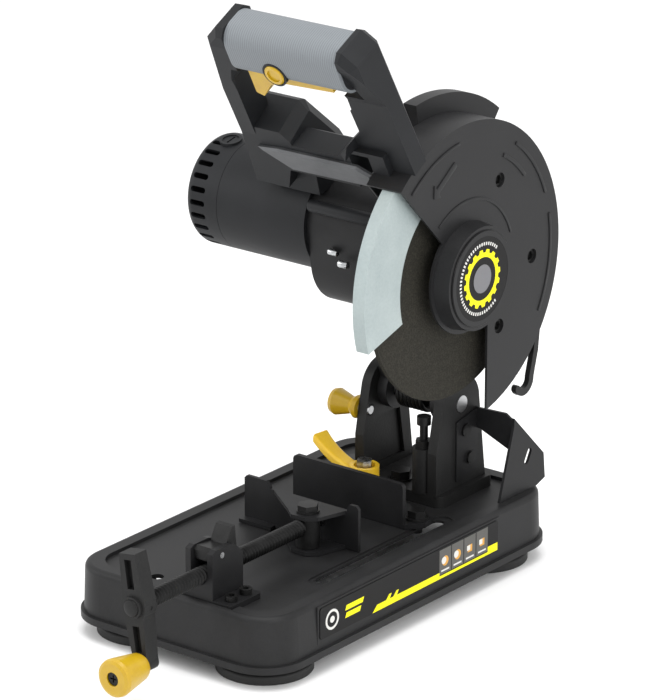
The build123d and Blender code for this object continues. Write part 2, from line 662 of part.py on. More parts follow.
with BuildPart() as gear_case:
    extrude(yz(gear_case_left) * case_outline(0), amount=gear_case_right - gear_case_left)
    with BuildSketch(yz(arm_left)):
        with BuildLine():
            Polyline(
                along_arm(24.0, -8.0),
                along_arm(arm_length - 20, -8.0),
                along_arm(arm_length - 20, 30.0),
                along_arm(45.0, 22.0),
                along_arm(24.0, 18.0),
                close=True,
            )
        make_face()
    extrude(amount=arm_right - arm_left)
    for left in (arm_left, arm_right - lug_width):
        with BuildSketch(yz(left)):
            with Locations(hinge):
                Circle(lug_radius)
            with BuildLine():
                Polyline(
                    along_arm(0, -8.0), along_arm(26.0, -8.0), along_arm(26.0, 18.0), along_arm(0, 14.0), close=True
                )
            make_face()
        extrude(amount=lug_width)
    extrude(
        yz(gear_case_left + gear_case_wall) * case_outline(-gear_case_wall),
        amount=gear_case_right - gear_case_left - 2 * gear_case_wall,
        mode=Mode.SUBTRACT,
    )
    box_between((arm_left + 5, 60, 170), (arm_right - 5, 87.5, 184), Mode.SUBTRACT)
    cylinder_x(hinge_y, hinge_z, hinge_pin_radius + shaft_clear, -40, 60, Mode.SUBTRACT)
    cylinder_x(arbor_y, arbor_z, 16.0, gear_case_right - 12, gear_case_right - 1)
    cylinder_x(arbor_y, arbor_z, 11.0, gear_case_right - 12.5, gear_case_right + 1, Mode.SUBTRACT)
    cylinder_x(arbor_y, arbor_z, 10.4, gear_case_left + 1, gear_case_left + 9)
    cylinder_x(arbor_y, arbor_z, 8.0, gear_case_left + 2, gear_case_left + 10, Mode.SUBTRACT)
    cylinder_x(motor_y, motor_z, 13.0, gear_case_left - 1, gear_case_left + 9)
    cylinder_x(motor_y, motor_z, 9.5, gear_case_left - 2, gear_case_left + 10, Mode.SUBTRACT)
finish(gear_case.part, "gear_case")

# ---- motor ----
with BuildPart() as motor_housing:
    cylinder_x(motor_y, motor_z, motor_radius, motor_seam, motor_right)
    cylinder_x(motor_y, motor_z, motor_radius - motor_wall, motor_seam - 1, motor_right - 5, Mode.SUBTRACT)
    cylinder_x(motor_y, motor_z, 24.0, motor_right - 6, motor_right + 1, Mode.SUBTRACT)
finish(motor_housing.part, "motor_housing")

with BuildPart() as motor_end_cap:
    cylinder_x(motor_y, motor_z, motor_radius, motor_left, motor_seam - 0.3)
    fillet(motor_end_cap.edges().filter_by(GeomType.CIRCLE).sort_by(Axis.X)[0], radius=8.0)
    cylinder_x(motor_y, motor_z, motor_radius - motor_wall, motor_left + 4, motor_seam + 1, Mode.SUBTRACT)
    cylinder_x(motor_y, motor_z, 13.5, motor_left + 3, motor_left + 12)
    cylinder_x(motor_y, motor_z, 11.0, motor_left + 5, motor_left + 13, Mode.SUBTRACT)
    for turn in range(-5, 6):
        place = polar(motor_radius, 180 + 14 * turn, motor)
        with BuildSketch(Plane.XY.offset(0)) as vent:
            with Locations((motor_left + 12.5, 0)):
                SlotOverall(13.0, 4.0)
        vent_plane = Plane(
            origin=(0, place[0], place[1]),
            x_dir=(1, 0, 0),
            z_dir=(0, place[0] - motor_y, place[1] - motor_z),
        )
        extrude(vent_plane * vent.sketch, amount=4.0, both=True, mode=Mode.SUBTRACT)
    brush_dir = polar(1.0, 102)
    for side in (1, -1):
        brush_plane = Plane(
            origin=(-119.0, motor_y + side * 30 * brush_dir[0], motor_z + side * 30 * brush_dir[1]),
            z_dir=(0, side * brush_dir[0], side * brush_dir[1]),
        )
        with BuildSketch(brush_plane) as brush_boss:
            Circle(8.0)
        extrude(brush_boss.sketch, amount=11.0)
        with BuildSketch(brush_plane) as brush_hole:
            Circle(6.0)
        extrude(brush_hole.sketch, amount=20.0, both=True, mode=Mode.SUBTRACT)
finish(motor_end_cap.part, "motor_end_cap")

with BuildPart() as brush_caps:
    for side in (1, -1):
        brush_plane = Plane(
            origin=(-119.0, motor_y + side * 32 * brush_dir[0], motor_z + side * 32 * brush_dir[1]),
            z_dir=(0, side * brush_dir[0], side * brush_dir[1]),
        )
        with BuildSketch(brush_plane) as brush_plug:
            Circle(5.95)
        extrude(brush_plug.sketch, amount=8.2)
        with BuildSketch(brush_plane.offset(8.2)) as driver_slot:
            Rectangle(9.0, 1.4)
        extrude(driver_slot.sketch, amount=-1.4, mode=Mode.SUBTRACT)
finish(brush_caps.part, "brush_caps")

commutator_radius = 11.5
with BuildPart() as carbon_brushes:
    for side in (1, -1):
        brush_plane = Plane(
            origin=(-119.0, motor_y, motor_z),
            z_dir=(0, side * brush_dir[0], side * brush_dir[1]),
        )
        with BuildSketch(brush_plane.offset(commutator_radius + 0.1)) as brush:
            Rectangle(6.0, 7.0)
        extrude(brush.sketch, amount=32.0 - commutator_radius - 0.3)
finish(carbon_brushes.part, "carbon_brushes")

with BuildPart() as stator:
    cylinder_x(motor_y, motor_z, motor_radius - motor_wall, -95.0, -50.0)
    cylinder_x(motor_y, motor_z, 22.0, -96.0, -49.0, Mode.SUBTRACT)
finish(stator.part, "stator")

# A tooth is a plain trapezium, thin enough to leave running play in the mesh.
pinion_left, pinion_right = 6.0, 22.0
gear_left, gear_right = 8.0, 20.0
mesh_angle = degrees(atan2(motor_z - arbor_z, motor_y - arbor_y))


def toothed_wheel(teeth, first_angle, centre):
    """A spur gear's outline, with its first tooth at first_angle."""
    pitch_radius = gear_module * teeth / 2
    root = pitch_radius - 1.15 * gear_module
    tip = pitch_radius + 0.8 * gear_module
    half_root = degrees(0.85 * gear_module / pitch_radius)
    half_tip = degrees(0.28 * gear_module / pitch_radius)
    points = []
    for tooth in range(teeth):
        middle = first_angle + 360.0 * tooth / teeth
        points += [polar(root, middle - half_root, centre), polar(tip, middle - half_tip, centre)]
        points += [polar(tip, middle + half_tip, centre), polar(root, middle + half_root, centre)]
    with BuildSketch(Plane.XY) as outline:
        with BuildLine():
            Polyline(*points, close=True)
        make_face()
    return outline.sketch


with BuildPart() as armature:
    cylinder_x(motor_y, motor_z, 4.0, motor_left + 5.5, pinion_left)
    cylinder_x(motor_y, motor_z, 21.4, -93.0, -52.0)
    cylinder_x(motor_y, motor_z, commutator_radius, -124.0, -110.0)
    pinion_first = mesh_angle + 180.0
    extrude(yz(pinion_left) * toothed_wheel(pinion_teeth, pinion_first, motor), amount=pinion_right - pinion_left)
finish(armature.part, "armature")

with BuildPart() as cooling_fan:
    cylinder_x(motor_y, motor_z, 8.0, -46.0, -38.5)
    cylinder_x(motor_y, motor_z, 33.0, -40.5, -38.5)
    for blade in range(12):
        middle = polar(20.0, 30 * blade, motor)
        with BuildSketch(yz(-46.0)) as blade_outline:
            with Locations(middle):
                Rectangle(24.0, 1.6, rotation=30 * blade + 12)
        extrude(blade_outline.sketch, amount=6.0)
    cylinder_x(motor_y, motor_z, 4.0, -50.0, -30.0, Mode.SUBTRACT)
finish(cooling_fan.part, "cooling_fan")

with BuildPart() as motor_bearings:
    cylinder_x(motor_y, motor_z, 11.0, motor_left + 5.2, motor_left + 12.0)
    cylinder_x(motor_y, motor_z, 9.5, gear_case_left + 1.0, gear_case_left + 8.0)
    cylinder_x(motor_y, motor_z, 4.0 + shaft_clear, motor_left, gear_case_left + 20, Mode.SUBTRACT)
finish(motor_bearings.part, "motor_bearings")

# ================= spindle and disc =================
flange_radius = 20.0
disc_left, disc_right = disc_x - disc_thickness / 2, disc_x + disc_thickness / 2
spindle_end = 58.0

with BuildPart() as spindle:
    cylinder_x(arbor_y, arbor_z, 4.0, gear_case_left + 3.0, 8.0)
    cylinder_x(arbor_y, arbor_z, 6.0, 8.0, gear_case_right + 0.5)
    cylinder_x(arbor_y, arbor_z, 8.0, gear_case_right + 0.5, spindle_end)
    cylinder_x(arbor_y, arbor_z, 3.0, 44.0, spindle_end + 1, Mode.SUBTRACT)
finish(spindle.part, "spindle")

with BuildPart() as drive_gear:
    extrude(yz(gear_left) * toothed_wheel(gear_teeth, mesh_angle + 180.0 / gear_teeth, arbor), amount=gear_right - gear_left)
    cylinder_x(arbor_y, arbor_z, 6.0, gear_left - 1, gear_right + 1, Mode.SUBTRACT)
    for hole in range(6):
        place = polar(12.5, 60 * hole, arbor)
        cylinder_x(place[0], place[1], 3.0, gear_left - 1, gear_right + 1, Mode.SUBTRACT)
finish(drive_gear.part, "drive_gear")

with BuildPart() as spindle_bearings:
    cylinder_x(arbor_y, arbor_z, 8.0, gear_case_left + 2.5, gear_case_left + 8.0)
    cylinder_x(arbor_y, arbor_z, 4.0 + shaft_clear, gear_case_left + 2, gear_case_left + 9, Mode.SUBTRACT)
    cylinder_x(arbor_y, arbor_z, 11.0, gear_case_right - 11.0, gear_case_right - 1.5)
    cylinder_x(arbor_y, arbor_z, 6.0 + shaft_clear, gear_case_right - 12, gear_case_right, Mode.SUBTRACT)
finish(spindle_bearings.part, "spindle_bearings")

with BuildPart() as inner_flange:
    cylinder_x(arbor_y, arbor_z, flange_radius, disc_left - 5.0, disc_left)
    cylinder_x(arbor_y, arbor_z, flange_radius - 3.0, disc_left - 0.8, disc_left + 1, Mode.SUBTRACT)
    cylinder_x(arbor_y, arbor_z, disc_bore / 2 - 0.05, disc_left - 0.8, disc_right - 0.4)
    cylinder_x(arbor_y, arbor_z, 8.0, disc_left - 8.0, spindle_end, Mode.SUBTRACT)
    cylinder_x(arbor_y, arbor_z, 5.0, disc_left - 8.0, disc_right + 1, Mode.SUBTRACT)
finish(inner_flange.part, "inner_flange")

with BuildPart() as cutting_disc:
    cylinder_x(arbor_y, arbor_z, disc_radius, disc_left, disc_right)
    cylinder_x(arbor_y, arbor_z, disc_bore / 2, disc_left - 1, disc_right + 1, Mode.SUBTRACT)
finish(cutting_disc.part, "cutting_disc")

with BuildPart() as outer_flange:
    cylinder_x(arbor_y, arbor_z, flange_radius, disc_right, disc_right + 4.0)
    cylinder_x(arbor_y, arbor_z, flange_radius - 3.0, disc_right - 1, disc_right + 0.8, Mode.SUBTRACT)
    cylinder_x(arbor_y, arbor_z, 5.0, disc_right - 1, disc_right + 5, Mode.SUBTRACT)
finish(outer_flange.part, "outer_flange")

with BuildPart() as arbor_bolt:
    cylinder_x(arbor_y, arbor_z, 2.95, 45.0, disc_right + 4.0)
    cylinder_x(arbor_y, arbor_z, 8.5, disc_right + 4.0, disc_right + 5.6)
    hexagon_x(arbor_y, arbor_z, 13.0, disc_right + 5.6, disc_right + 11.0)
finish(arbor_bolt.part, "arbor_bolt")

# ================= guards =================
guard_front = 134.0
cover_screw_ring, cover_screw_turns = 100.0, (114.0, 30.0, -28.0)
cover_holes = ((69.0, 57.8), (76.0, -4.8), (60.5, -51.2))
guard_edge_y = arbor_y + 24.5
cap_radius, cap_face = 38.0, 86.6
badge_radius = 33.8


def sector(inner, outer, start, end):
    """A ring sector round the arbor, clockwise from start to end."""
    with BuildSketch(Plane.XY) as outline:
        with BuildLine():
            middle = (start + end) / 2
            ThreePointArc(polar(outer, start, arbor), polar(outer, middle, arbor), polar(outer, end, arbor))
            Line(polar(outer, end, arbor), polar(inner, end, arbor))
            ThreePointArc(polar(inner, end, arbor), polar(inner, middle, arbor), polar(inner, start, arbor))
            Line(polar(inner, start, arbor), polar(outer, start, arbor))
        make_face()
    return outline.sketch


with BuildPart() as guard_back:
    extrude(yz(guard_back_x) * sector(24.0, guard_radius, guard_front, -34.0), amount=guard_sheet)
    extrude(yz(30.0) * sector(95.0, 121.0, 100.0, 52.0), amount=guard_back_x - 30.0 + 0.5)
    chamfer(guard_back.edges().filter_by_position(Axis.X, 29.9, 30.1), length=6.0)
    for turn in cover_screw_turns:
        place = polar(cover_screw_ring, turn, arbor)
        cylinder_x(place[0], place[1], 2.2, guard_back_x - 1, guard_back_x + 5, Mode.SUBTRACT)
finish(guard_back.part, "guard_back")

flange_x = guard_back_x + guard_sheet + 0.05
with BuildPart() as guard_cover:
    with BuildSketch(yz(guard_face_x - guard_sheet)):
        with BuildLine():
            front_top = polar(guard_radius, guard_front, arbor)
            tip = (guard_edge_y, arbor_z - sqrt(guard_radius ** 2 - 24.5 ** 2))
            ThreePointArc(front_top, polar(guard_radius, 30, arbor), tip)
            Line(tip, (guard_edge_y, arbor_z - 20))
            Line((guard_edge_y, arbor_z - 20), (arbor_y, arbor_z))
            Line((arbor_y, arbor_z), front_top)
        make_face()
        with Locations(arbor):
            Circle(cap_radius + 3)
    extrude(amount=guard_sheet)
    band = sector(guard_radius - guard_sheet, guard_radius, guard_front, -48.0)
    extrude(yz(flange_x) * band, amount=guard_face_x - flange_x)
    extrude(yz(flange_x) * sector(94.0, guard_radius, 124.0, -34.0), amount=guard_sheet)
    with BuildSketch(yz(guard_face_x)):
        with Locations(arbor):
            Circle(cap_radius)
    extrude(amount=cap_face - guard_face_x, taper=8)
    cylinder_x(arbor_y, arbor_z, 32.0, guard_face_x - guard_sheet - 1, cap_face - 2.2, Mode.SUBTRACT)
    cylinder_x(arbor_y, arbor_z, 24.4, lower_face - 3.6, cap_face - 1.0)
    cylinder_x(arbor_y, arbor_z, 21.2, lower_face - 4.0, cap_face - 2.2, Mode.SUBTRACT)
    for turn in cover_screw_turns:
        place = polar(cover_screw_ring, turn, arbor)
        cylinder_x(place[0], place[1], 2.1, flange_x - 1, flange_x + 4, Mode.SUBTRACT)
    for reach, turn in cover_holes:
        place = polar(reach, turn, arbor)
        cylinder_x(place[0], place[1], 5.2, guard_face_x - 4, guard_face_x + 1, Mode.SUBTRACT)
finish(guard_cover.part, "guard_cover")

with BuildPart() as cover_screws:
    for turn in cover_screw_turns:
        place = polar(cover_screw_ring, turn, arbor)
        cylinder_x(place[0], place[1], 2.1, guard_back_x, flange_x + 4.0)
        cylinder_x(place[0], place[1], 4.2, guard_back_x - 2.6, guard_back_x)
    for reach, turn in cover_holes:
        place = polar(reach, turn, arbor)
        cylinder_x(place[0], place[1], 6.5, guard_face_x - guard_sheet - 3.2, guard_face_x - guard_sheet)
        with BuildSketch(yz(guard_face_x - guard_sheet)) as socket:
            with Locations(place):
                RegularPolygon(3.0, 6, major_radius=False)
        extrude(socket.sketch, amount=-2.2, mode=Mode.SUBTRACT)
finish(cover_screws.part, "cover_screws")

with BuildPart() as guard_badge:
    cylinder_x(arbor_y, arbor_z, badge_radius, cap_face, cap_face + 1.1)
    chamfer(guard_badge.edges().filter_by_position(Axis.X, cap_face + 1.0, cap_face + 1.2), length=0.6)
finish(guard_badge.part, "guard_badge")

# ---- lower guard, turning on the cover's inner ring ----
lower_front, lower_tip, lower_hidden = 128.0, 197.0, 62.0
lower_sheet = 1.5
lower_inner = 66.0

with BuildPart() as lower_guard:
    extrude(yz(lower_face - lower_sheet) * sector(lower_inner, lower_radius, lower_tip, lower_hidden), amount=lower_sheet)
    rim = sector(lower_radius - lower_sheet, lower_radius, lower_tip, lower_hidden)
    extrude(yz(lower_left) * rim, amount=lower_face - lower_left)
    extrude(yz(lower_face - lower_sheet) * sector(28.0, lower_inner + 1, 118.0, 74.0), amount=lower_sheet)
    cylinder_x(arbor_y, arbor_z, 31.0, lower_face - lower_sheet, lower_face)
    cylinder_x(arbor_y, arbor_z, 24.45, lower_face - 3, lower_face + 2, Mode.SUBTRACT)
    fillet(lower_guard.edges().filter_by(Axis.X).sort_by(Axis.Z)[:2], radius=0.6)
finish(lower_guard.part, "lower_guard")

with BuildPart() as guard_clip:
    cylinder_x(arbor_y, arbor_z, 27.0, lower_face - 3.6, lower_face - 2.3)
    cylinder_x(arbor_y, arbor_z, 24.4, lower_face - 4, lower_face - 2, Mode.SUBTRACT)
finish(guard_clip.part, "guard_clip")

# ---- hook for hanging the saw's cord, on the guard's rear rim ----
with BuildPart() as cord_hook:
    with BuildSketch(yz(guard_face_x - 5.0)):
        with BuildLine():
            Polyline((157.0, 176.0), (154.0, 150.0), (149.0, 132.0))
            ThreePointArc((149.0, 132.0), (142.0, 123.0), (133.0, 127.0))
            offset(amount=2.6)
        make_face()
    extrude(amount=4.0)
finish(cord_hook.part, "cord_hook")

# ================= handle =================
# The loop is drawn on a leaning plane: x is along X, y runs up the lean, and depth
# is counted towards the user.
lean = radians(handle_lean)
loop_plane = Plane(
    origin=(0, grip_y, grip_z),
    x_dir=(1, 0, 0),
    z_dir=(0, -cos(lean), -sin(lean)),
)
grip_half, shell_depth = 19.0, 17.0
grip_left, grip_right = -34.0, 60.0
cover_thickness = 2.0
crossbar_bottom = -112.0
saddle_bottom = -130.0
leg_front = 7.0
button_place = (2.0, -9.5)
trigger_left, trigger_right = -29.0, 42.0
trigger_pivot = (37.0, -11.5)
trigger_half = 10.0
pin_radius = 2.0


def loop_outline():
    """The handle's loop: grip, two legs that spread downwards, and the crossbar."""
    with BuildSketch(Plane.XY) as outline:
        with BuildLine():
            Polyline(
                (-41.0, grip_half),
                (64.0, grip_half),
                (74.0, 9.0),
                (77.0, -62.0),
                (79.0, crossbar_bottom),
                (-30.0, crossbar_bottom),
                (-38.0, saddle_bottom),
                (-66.0, saddle_bottom),
                (-62.0, -85.0),
                (-52.0, 8.0),
                close=True,
            )
        make_face()
        with BuildLine():
            Polyline(
                (-38.0, -grip_half),
                (40.0, -grip_half),
                (42.5, -64.0),
                (19.0, -87.0),
                (-50.0, -87.0),
                (-43.0, -28.0),
                close=True,
            )
        make_face(mode=Mode.SUBTRACT)
    return outline.sketch


def along_grip(x_from, x_to, width, height, radius):
    """A bar along the grip with a rounded section, as a solid to add or cut."""
    start = Plane(origin=(x_to, grip_y, grip_z), x_dir=loop_plane.z_dir, z_dir=(-1, 0, 0))
    with BuildPart() as bar:
        with BuildSketch(start):
            RectangleRounded(width, height, radius)
        extrude(amount=x_to - x_from)
    return bar.part


def grip_core():
    """The grip's outside as far as the soft cover, to be cut away from a handle half."""
    outside = along_grip(grip_left, grip_right, 50.0, 60.0, 5.0)
    inside = along_grip(
        grip_left - 1,
        grip_right + 1,
        2 * (shell_depth - cover_thickness),
        2 * (grip_half - cover_thickness),
        11.0,
    )
    return outside - inside


def loop_block(low, high, depth_from, depth_to):
    """A block given by two corners on the loop's plane and two depths."""
    with BuildPart() as block:
        with BuildSketch(loop_plane.offset(depth_from)):
            with Locations(((low[0] + high[0]) / 2, (low[1] + high[1]) / 2)):
                Rectangle(high[0] - low[0], high[1] - low[1])
        extrude(amount=depth_to - depth_from)
    return block.part


def loop_bar(place, radius, depth_from, depth_to):
    """A round bar across the loop's plane between two depths."""
    with BuildPart() as bar:
        with BuildSketch(loop_plane.offset(depth_from)):
            with Locations(place):
                Circle(radius)
        extrude(amount=depth_to - depth_from)
    return bar.part


def saddle_block():
    """The block that ties the handle's left side to the top of the motor."""
    with BuildPart() as block:
        with BuildSketch(yz(-58.0)):
            with BuildLine():
                Polyline(
                    (-10.0, 314.0),
                    (-6.0, 328.0),
                    (15.0, 346.0),
                    (22.0, 345.0),
                    (60.0, 315.0),
                    (68.0, 286.0),
                    (30.0, 276.0),
                    (24.0, 296.0),
                    (4.0, 308.0),
                    close=True,
                )
            make_face()
        extrude(amount=38.0)
        chamfer(block.faces().sort_by(Axis.X)[-1].edges().sort_by(Axis.Z)[-3:], length=7.0)
    return block.part


def handle_cuts():
    """Room for the motor, the gear case, the guard and the working parts in a half."""
    cylinder_x(motor_y, motor_z, motor_radius + shaft_clear, motor_seam - 5, motor_right, Mode.SUBTRACT)
    extrude(yz(motor_right - 0.5) * case_outline(shaft_clear), amount=100.0, mode=Mode.SUBTRACT)
    cylinder_x(arbor_y, arbor_z, guard_radius + 0.1, guard_back_x - 0.2, 95.0, Mode.SUBTRACT)
    cylinder_x(arbor_y, arbor_z, 121.1, 29.8, guard_back_x + 0.6, Mode.SUBTRACT)
    room = trigger_half + 0.4
    add(grip_core(), mode=Mode.SUBTRACT)
    add(loop_block((-23.0, -4.0), (29.0, 11.5), -room, room), mode=Mode.SUBTRACT)
    add(loop_block((trigger_left - 1.0, -45.0), (trigger_right + 1.0, -3.9), -room, room), mode=Mode.SUBTRACT)
    add(loop_bar(trigger_pivot, pin_radius, -12.3, 12.3), mode=Mode.SUBTRACT)


with BuildPart() as handle_front:
    extrude(loop_plane * loop_outline(), amount=shell_depth)
    chamfer(handle_front.faces().sort_by(Axis((0, 0, 0), loop_plane.z_dir))[-1].edges(), length=5.0)
    front_profiles = (
        (-100.0, grip_left, ((30.0, 6.0), (17.1, 6.0), (leg_front, -84.0), (leg_front, -150.0), (30.0, -150.0))),
        (grip_left, 100.0, ((30.0, -78.0), (leg_front, -78.0), (leg_front, -150.0), (30.0, -150.0))),
        (grip_right, 100.0, ((30.0, 8.0), (17.1, 8.0), (2.0, -34.0), (2.0, -150.0), (30.0, -150.0))),
        (36.0, grip_right, ((30.0, -19.1), (7.35, -19.1), (2.0, -34.0), (2.0, -78.0), (30.0, -78.0))),
    )
    for x_from, x_to, profile in front_profiles:
        start = Plane(origin=(x_to, grip_y, grip_z), x_dir=loop_plane.z_dir, z_dir=(-1, 0, 0))
        with BuildSketch(start) as front_cut:
            with BuildLine():
                Polyline(*profile, close=True)
            make_face()
        extrude(front_cut.sketch, amount=x_to - x_from, mode=Mode.SUBTRACT)
    add(saddle_block() & loop_block((-110.0, -170.0), (110.0, 60.0), 0.0, leg_front))
    handle_cuts()
    add(loop_bar(button_place, 9.4, 14.0, shell_depth + 0.5))
    add(loop_bar(button_place, 8.0, 0.0, 30.0), mode=Mode.SUBTRACT)
    add(loop_block((-23.0, -17.0), (29.0, 11.5), 0.0, trigger_half + 0.4), mode=Mode.SUBTRACT)
finish(handle_front.part, "handle_front")

with BuildPart() as handle_rear:
    extrude(loop_plane * loop_outline(), amount=-shell_depth)
    chamfer(handle_rear.faces().sort_by(Axis((0, 0, 0), loop_plane.z_dir))[0].edges(), length=5.0)
    add(saddle_block())
    add(loop_block((-110.0, -170.0), (110.0, 60.0), 0.0, 80.0), mode=Mode.SUBTRACT)
    handle_cuts()
finish(handle_rear.part, "handle_rear")

with BuildPart() as grip_cover:
    add(along_grip(grip_left + 0.1, grip_right - 0.1, 2 * shell_depth, 2 * grip_half, 13.0))
    add(
        along_grip(
            grip_left,
            grip_right,
            2 * (shell_depth - cover_thickness) + 0.02,
            2 * (grip_half - cover_thickness) + 0.02,
            11.0,
        ),
        mode=Mode.SUBTRACT,
    )
    room = trigger_half + 0.4
    add(loop_block((trigger_left - 1.0, -30.0), (trigger_right + 1.0, -3.9), -room, room), mode=Mode.SUBTRACT)
    add(loop_bar(button_place, 9.5, 2.0, 30.0), mode=Mode.SUBTRACT)
finish(grip_cover.part, "grip_cover")

with BuildPart() as trigger:
    with BuildSketch(loop_plane.offset(-trigger_half)):
        with BuildLine():
            Polyline(
                (trigger_left, -12.0),
                (26.0, -12.0),
                (31.0, -7.5),
                (trigger_right, -7.5),
                (trigger_right, -22.0),
                (0.0, -24.0),
                (-13.0, -28.0),
                (-23.0, -40.0),
                (trigger_left, -38.0),
                close=True,
            )
        make_face()
    extrude(amount=2 * trigger_half)
    fillet(trigger.edges().filter_by(Axis((0, 0, 0), loop_plane.z_dir)).sort_by(Axis.X)[:2], radius=1.5)
    add(loop_bar(trigger_pivot, pin_radius + shaft_clear, -14.0, 14.0), mode=Mode.SUBTRACT)
finish(trigger.part, "trigger")

with BuildPart() as trigger_pin:
    add(loop_bar(trigger_pivot, pin_radius - 0.01, -12.2, 12.2))
finish(trigger_pin.part, "trigger_pin")

with BuildPart() as lock_button:
    add(loop_bar(button_place, 7.6, 13.0, shell_depth + 1.6))
    chamfer(lock_button.edges().filter_by(GeomType.CIRCLE).sort_by(Axis((0, 0, 0), loop_plane.z_dir))[-1], length=0.8)
    add(loop_bar(button_place, 5.0, shell_depth + 0.4, 30.0), mode=Mode.SUBTRACT)
finish(lock_button.part, "lock_button")

with BuildPart() as switch_module:
    add(loop_block((-20.0, -3.4), (26.0, 11.2), -9.0, 9.0))
    add(loop_block((-14.0, -4.4), (-2.0, -3.3), -4.0, 4.0))
finish(switch_module.part, "switch_module")

plate_depth = leg_front + 0.05
with BuildPart() as handle_plate:
    with BuildSketch(loop_plane.offset(plate_depth)):
        with BuildLine():
            Polyline(
                (-50.0, -93.0),
                (-32.0, -91.0),
                (35.0, -90.5),
                (50.0, -98.0),
                (44.0, -107.0),
                (-24.0, -108.0),
                (-38.0, -100.0),
                close=True,
            )
        make_face()
    extrude(amount=3.5)
    cylinder_x(arbor_y, arbor_z, guard_radius + 0.1, guard_back_x - 0.2, 95.0, Mode.SUBTRACT)
    chamfer(handle_plate.faces().sort_by(Axis((0, 0, 0), loop_plane.z_dir))[-1].edges(), length=1.6)
finish(handle_plate.part, "handle_plate")

# ---- inlet for the supply cord, at the back of the motor ----
gland_x, gland_z = -90.0, 252.0
with BuildPart() as cable_gland:
    cylinder_y(gland_x, gland_z, 10.0, motor_y + motor_radius + 5.0, motor_y + motor_radius - 1.0)
    cylinder_y(gland_x, gland_z, 7.0, motor_y + motor_radius + 17.0, motor_y + motor_radius + 4.0)
    cylinder_y(gland_x, gland_z, 4.0, motor_y + motor_radius + 18.0, motor_y + motor_radius - 2.0, Mode.SUBTRACT)
    cylinder_x(motor_y, motor_z, motor_radius + shaft_clear, gland_x - 20, gland_x + 20, Mode.SUBTRACT)
finish(cable_gland.part, "cable_gland")
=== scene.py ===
# %% [markdown]
# A chop saw for metal, built round its own CAD model. The CAD parts are loaded as a fixed
# frame: every one already stands in the right place, in metres, and rides on the rigid body
# that it moves with. This lesson gives each part the finish that it has on the real machine
# and adds what the CAD leaves out, such as threads, spring coils, grip ribs and the printed
# labels.

# %% Load the CAD frame
import bpy
import bmesh
import json
from math import cos, pi, radians, sin
from mathutils import Matrix, Vector

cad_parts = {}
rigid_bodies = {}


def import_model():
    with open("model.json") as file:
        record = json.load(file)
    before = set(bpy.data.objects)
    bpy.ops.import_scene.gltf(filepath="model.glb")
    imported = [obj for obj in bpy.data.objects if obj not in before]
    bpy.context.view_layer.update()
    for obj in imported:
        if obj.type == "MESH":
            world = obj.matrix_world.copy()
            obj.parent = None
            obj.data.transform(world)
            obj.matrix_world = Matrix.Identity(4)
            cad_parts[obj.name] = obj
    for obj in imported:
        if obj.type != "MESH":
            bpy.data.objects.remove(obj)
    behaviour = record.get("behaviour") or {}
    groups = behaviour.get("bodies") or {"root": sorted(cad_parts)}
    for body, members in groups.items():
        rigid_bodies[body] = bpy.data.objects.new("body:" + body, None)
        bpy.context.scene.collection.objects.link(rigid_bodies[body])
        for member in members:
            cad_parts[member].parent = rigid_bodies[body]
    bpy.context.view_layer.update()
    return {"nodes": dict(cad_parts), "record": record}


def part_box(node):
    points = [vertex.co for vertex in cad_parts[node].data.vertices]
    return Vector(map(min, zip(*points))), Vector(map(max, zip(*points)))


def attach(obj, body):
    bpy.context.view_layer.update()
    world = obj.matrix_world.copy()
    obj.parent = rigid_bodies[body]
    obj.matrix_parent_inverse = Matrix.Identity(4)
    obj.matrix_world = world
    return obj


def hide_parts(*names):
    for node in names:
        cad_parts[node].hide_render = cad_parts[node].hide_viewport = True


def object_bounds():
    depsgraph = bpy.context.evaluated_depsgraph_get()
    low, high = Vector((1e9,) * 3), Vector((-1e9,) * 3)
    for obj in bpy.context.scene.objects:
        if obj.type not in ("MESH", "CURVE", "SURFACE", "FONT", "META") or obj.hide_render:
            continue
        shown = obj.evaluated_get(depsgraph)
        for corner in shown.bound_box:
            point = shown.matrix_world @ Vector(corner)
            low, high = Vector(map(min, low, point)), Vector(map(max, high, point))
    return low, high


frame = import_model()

nodes = frame["nodes"]
for part in nodes.values():
    part.select_set(False)
bpy.context.view_layer.objects.active = None
MM = 0.001

# %% [markdown]
# Colours are easiest to judge as the hex values of a paint chart, but shaders work with
# linear light. One function turns the first into the second, so that no colour is ever typed
# twice in two forms.

# %% Colours and one small helper for shader nodes
def colour(hex_value, alpha=1.0):
    """Linear RGBA for a paint-chart hex value."""
    channels = [int(hex_value[i:i + 2], 16) / 255 for i in (0, 2, 4)]
    linear = [c / 12.92 if c <= 0.04045 else ((c + 0.055) / 1.055) ** 2.4 for c in channels]
    return (*linear, alpha)


def node(material, kind, settings=None, **links):
    """Adds a shader node. Links are other nodes' outputs or plain values, by socket name."""
    made = material.node_tree.nodes.new(kind)
    for name, value in (settings or {}).items():
        setattr(made, name, value)
    for name, value in links.items():
        key = int(name[1:]) if name[0] == "i" and name[1:].isdigit() else name.replace("_", " ")
        if isinstance(value, bpy.types.NodeSocket):
            material.node_tree.links.new(value, made.inputs[key])
        else:
            made.inputs[key].default_value = value
    return made


def new_material(name):
    """An empty node material with its shader and the piece's own coordinates."""
    material = bpy.data.materials.new(name)
    material.use_nodes = True
    material.node_tree.nodes.clear()
    shader = node(material, "ShaderNodeBsdfPrincipled")
    out = node(material, "ShaderNodeOutputMaterial")
    material.node_tree.links.new(shader.outputs["BSDF"], out.inputs["Surface"])
    coords = node(material, "ShaderNodeTexCoord")
    return material, shader, coords.outputs["Object"]


def link(material, output, socket):
    """Joins a node's output to a socket."""
    material.node_tree.links.new(output, socket)


print("helpers ready, mid grey is", [round(c, 3) for c in colour("808080")])

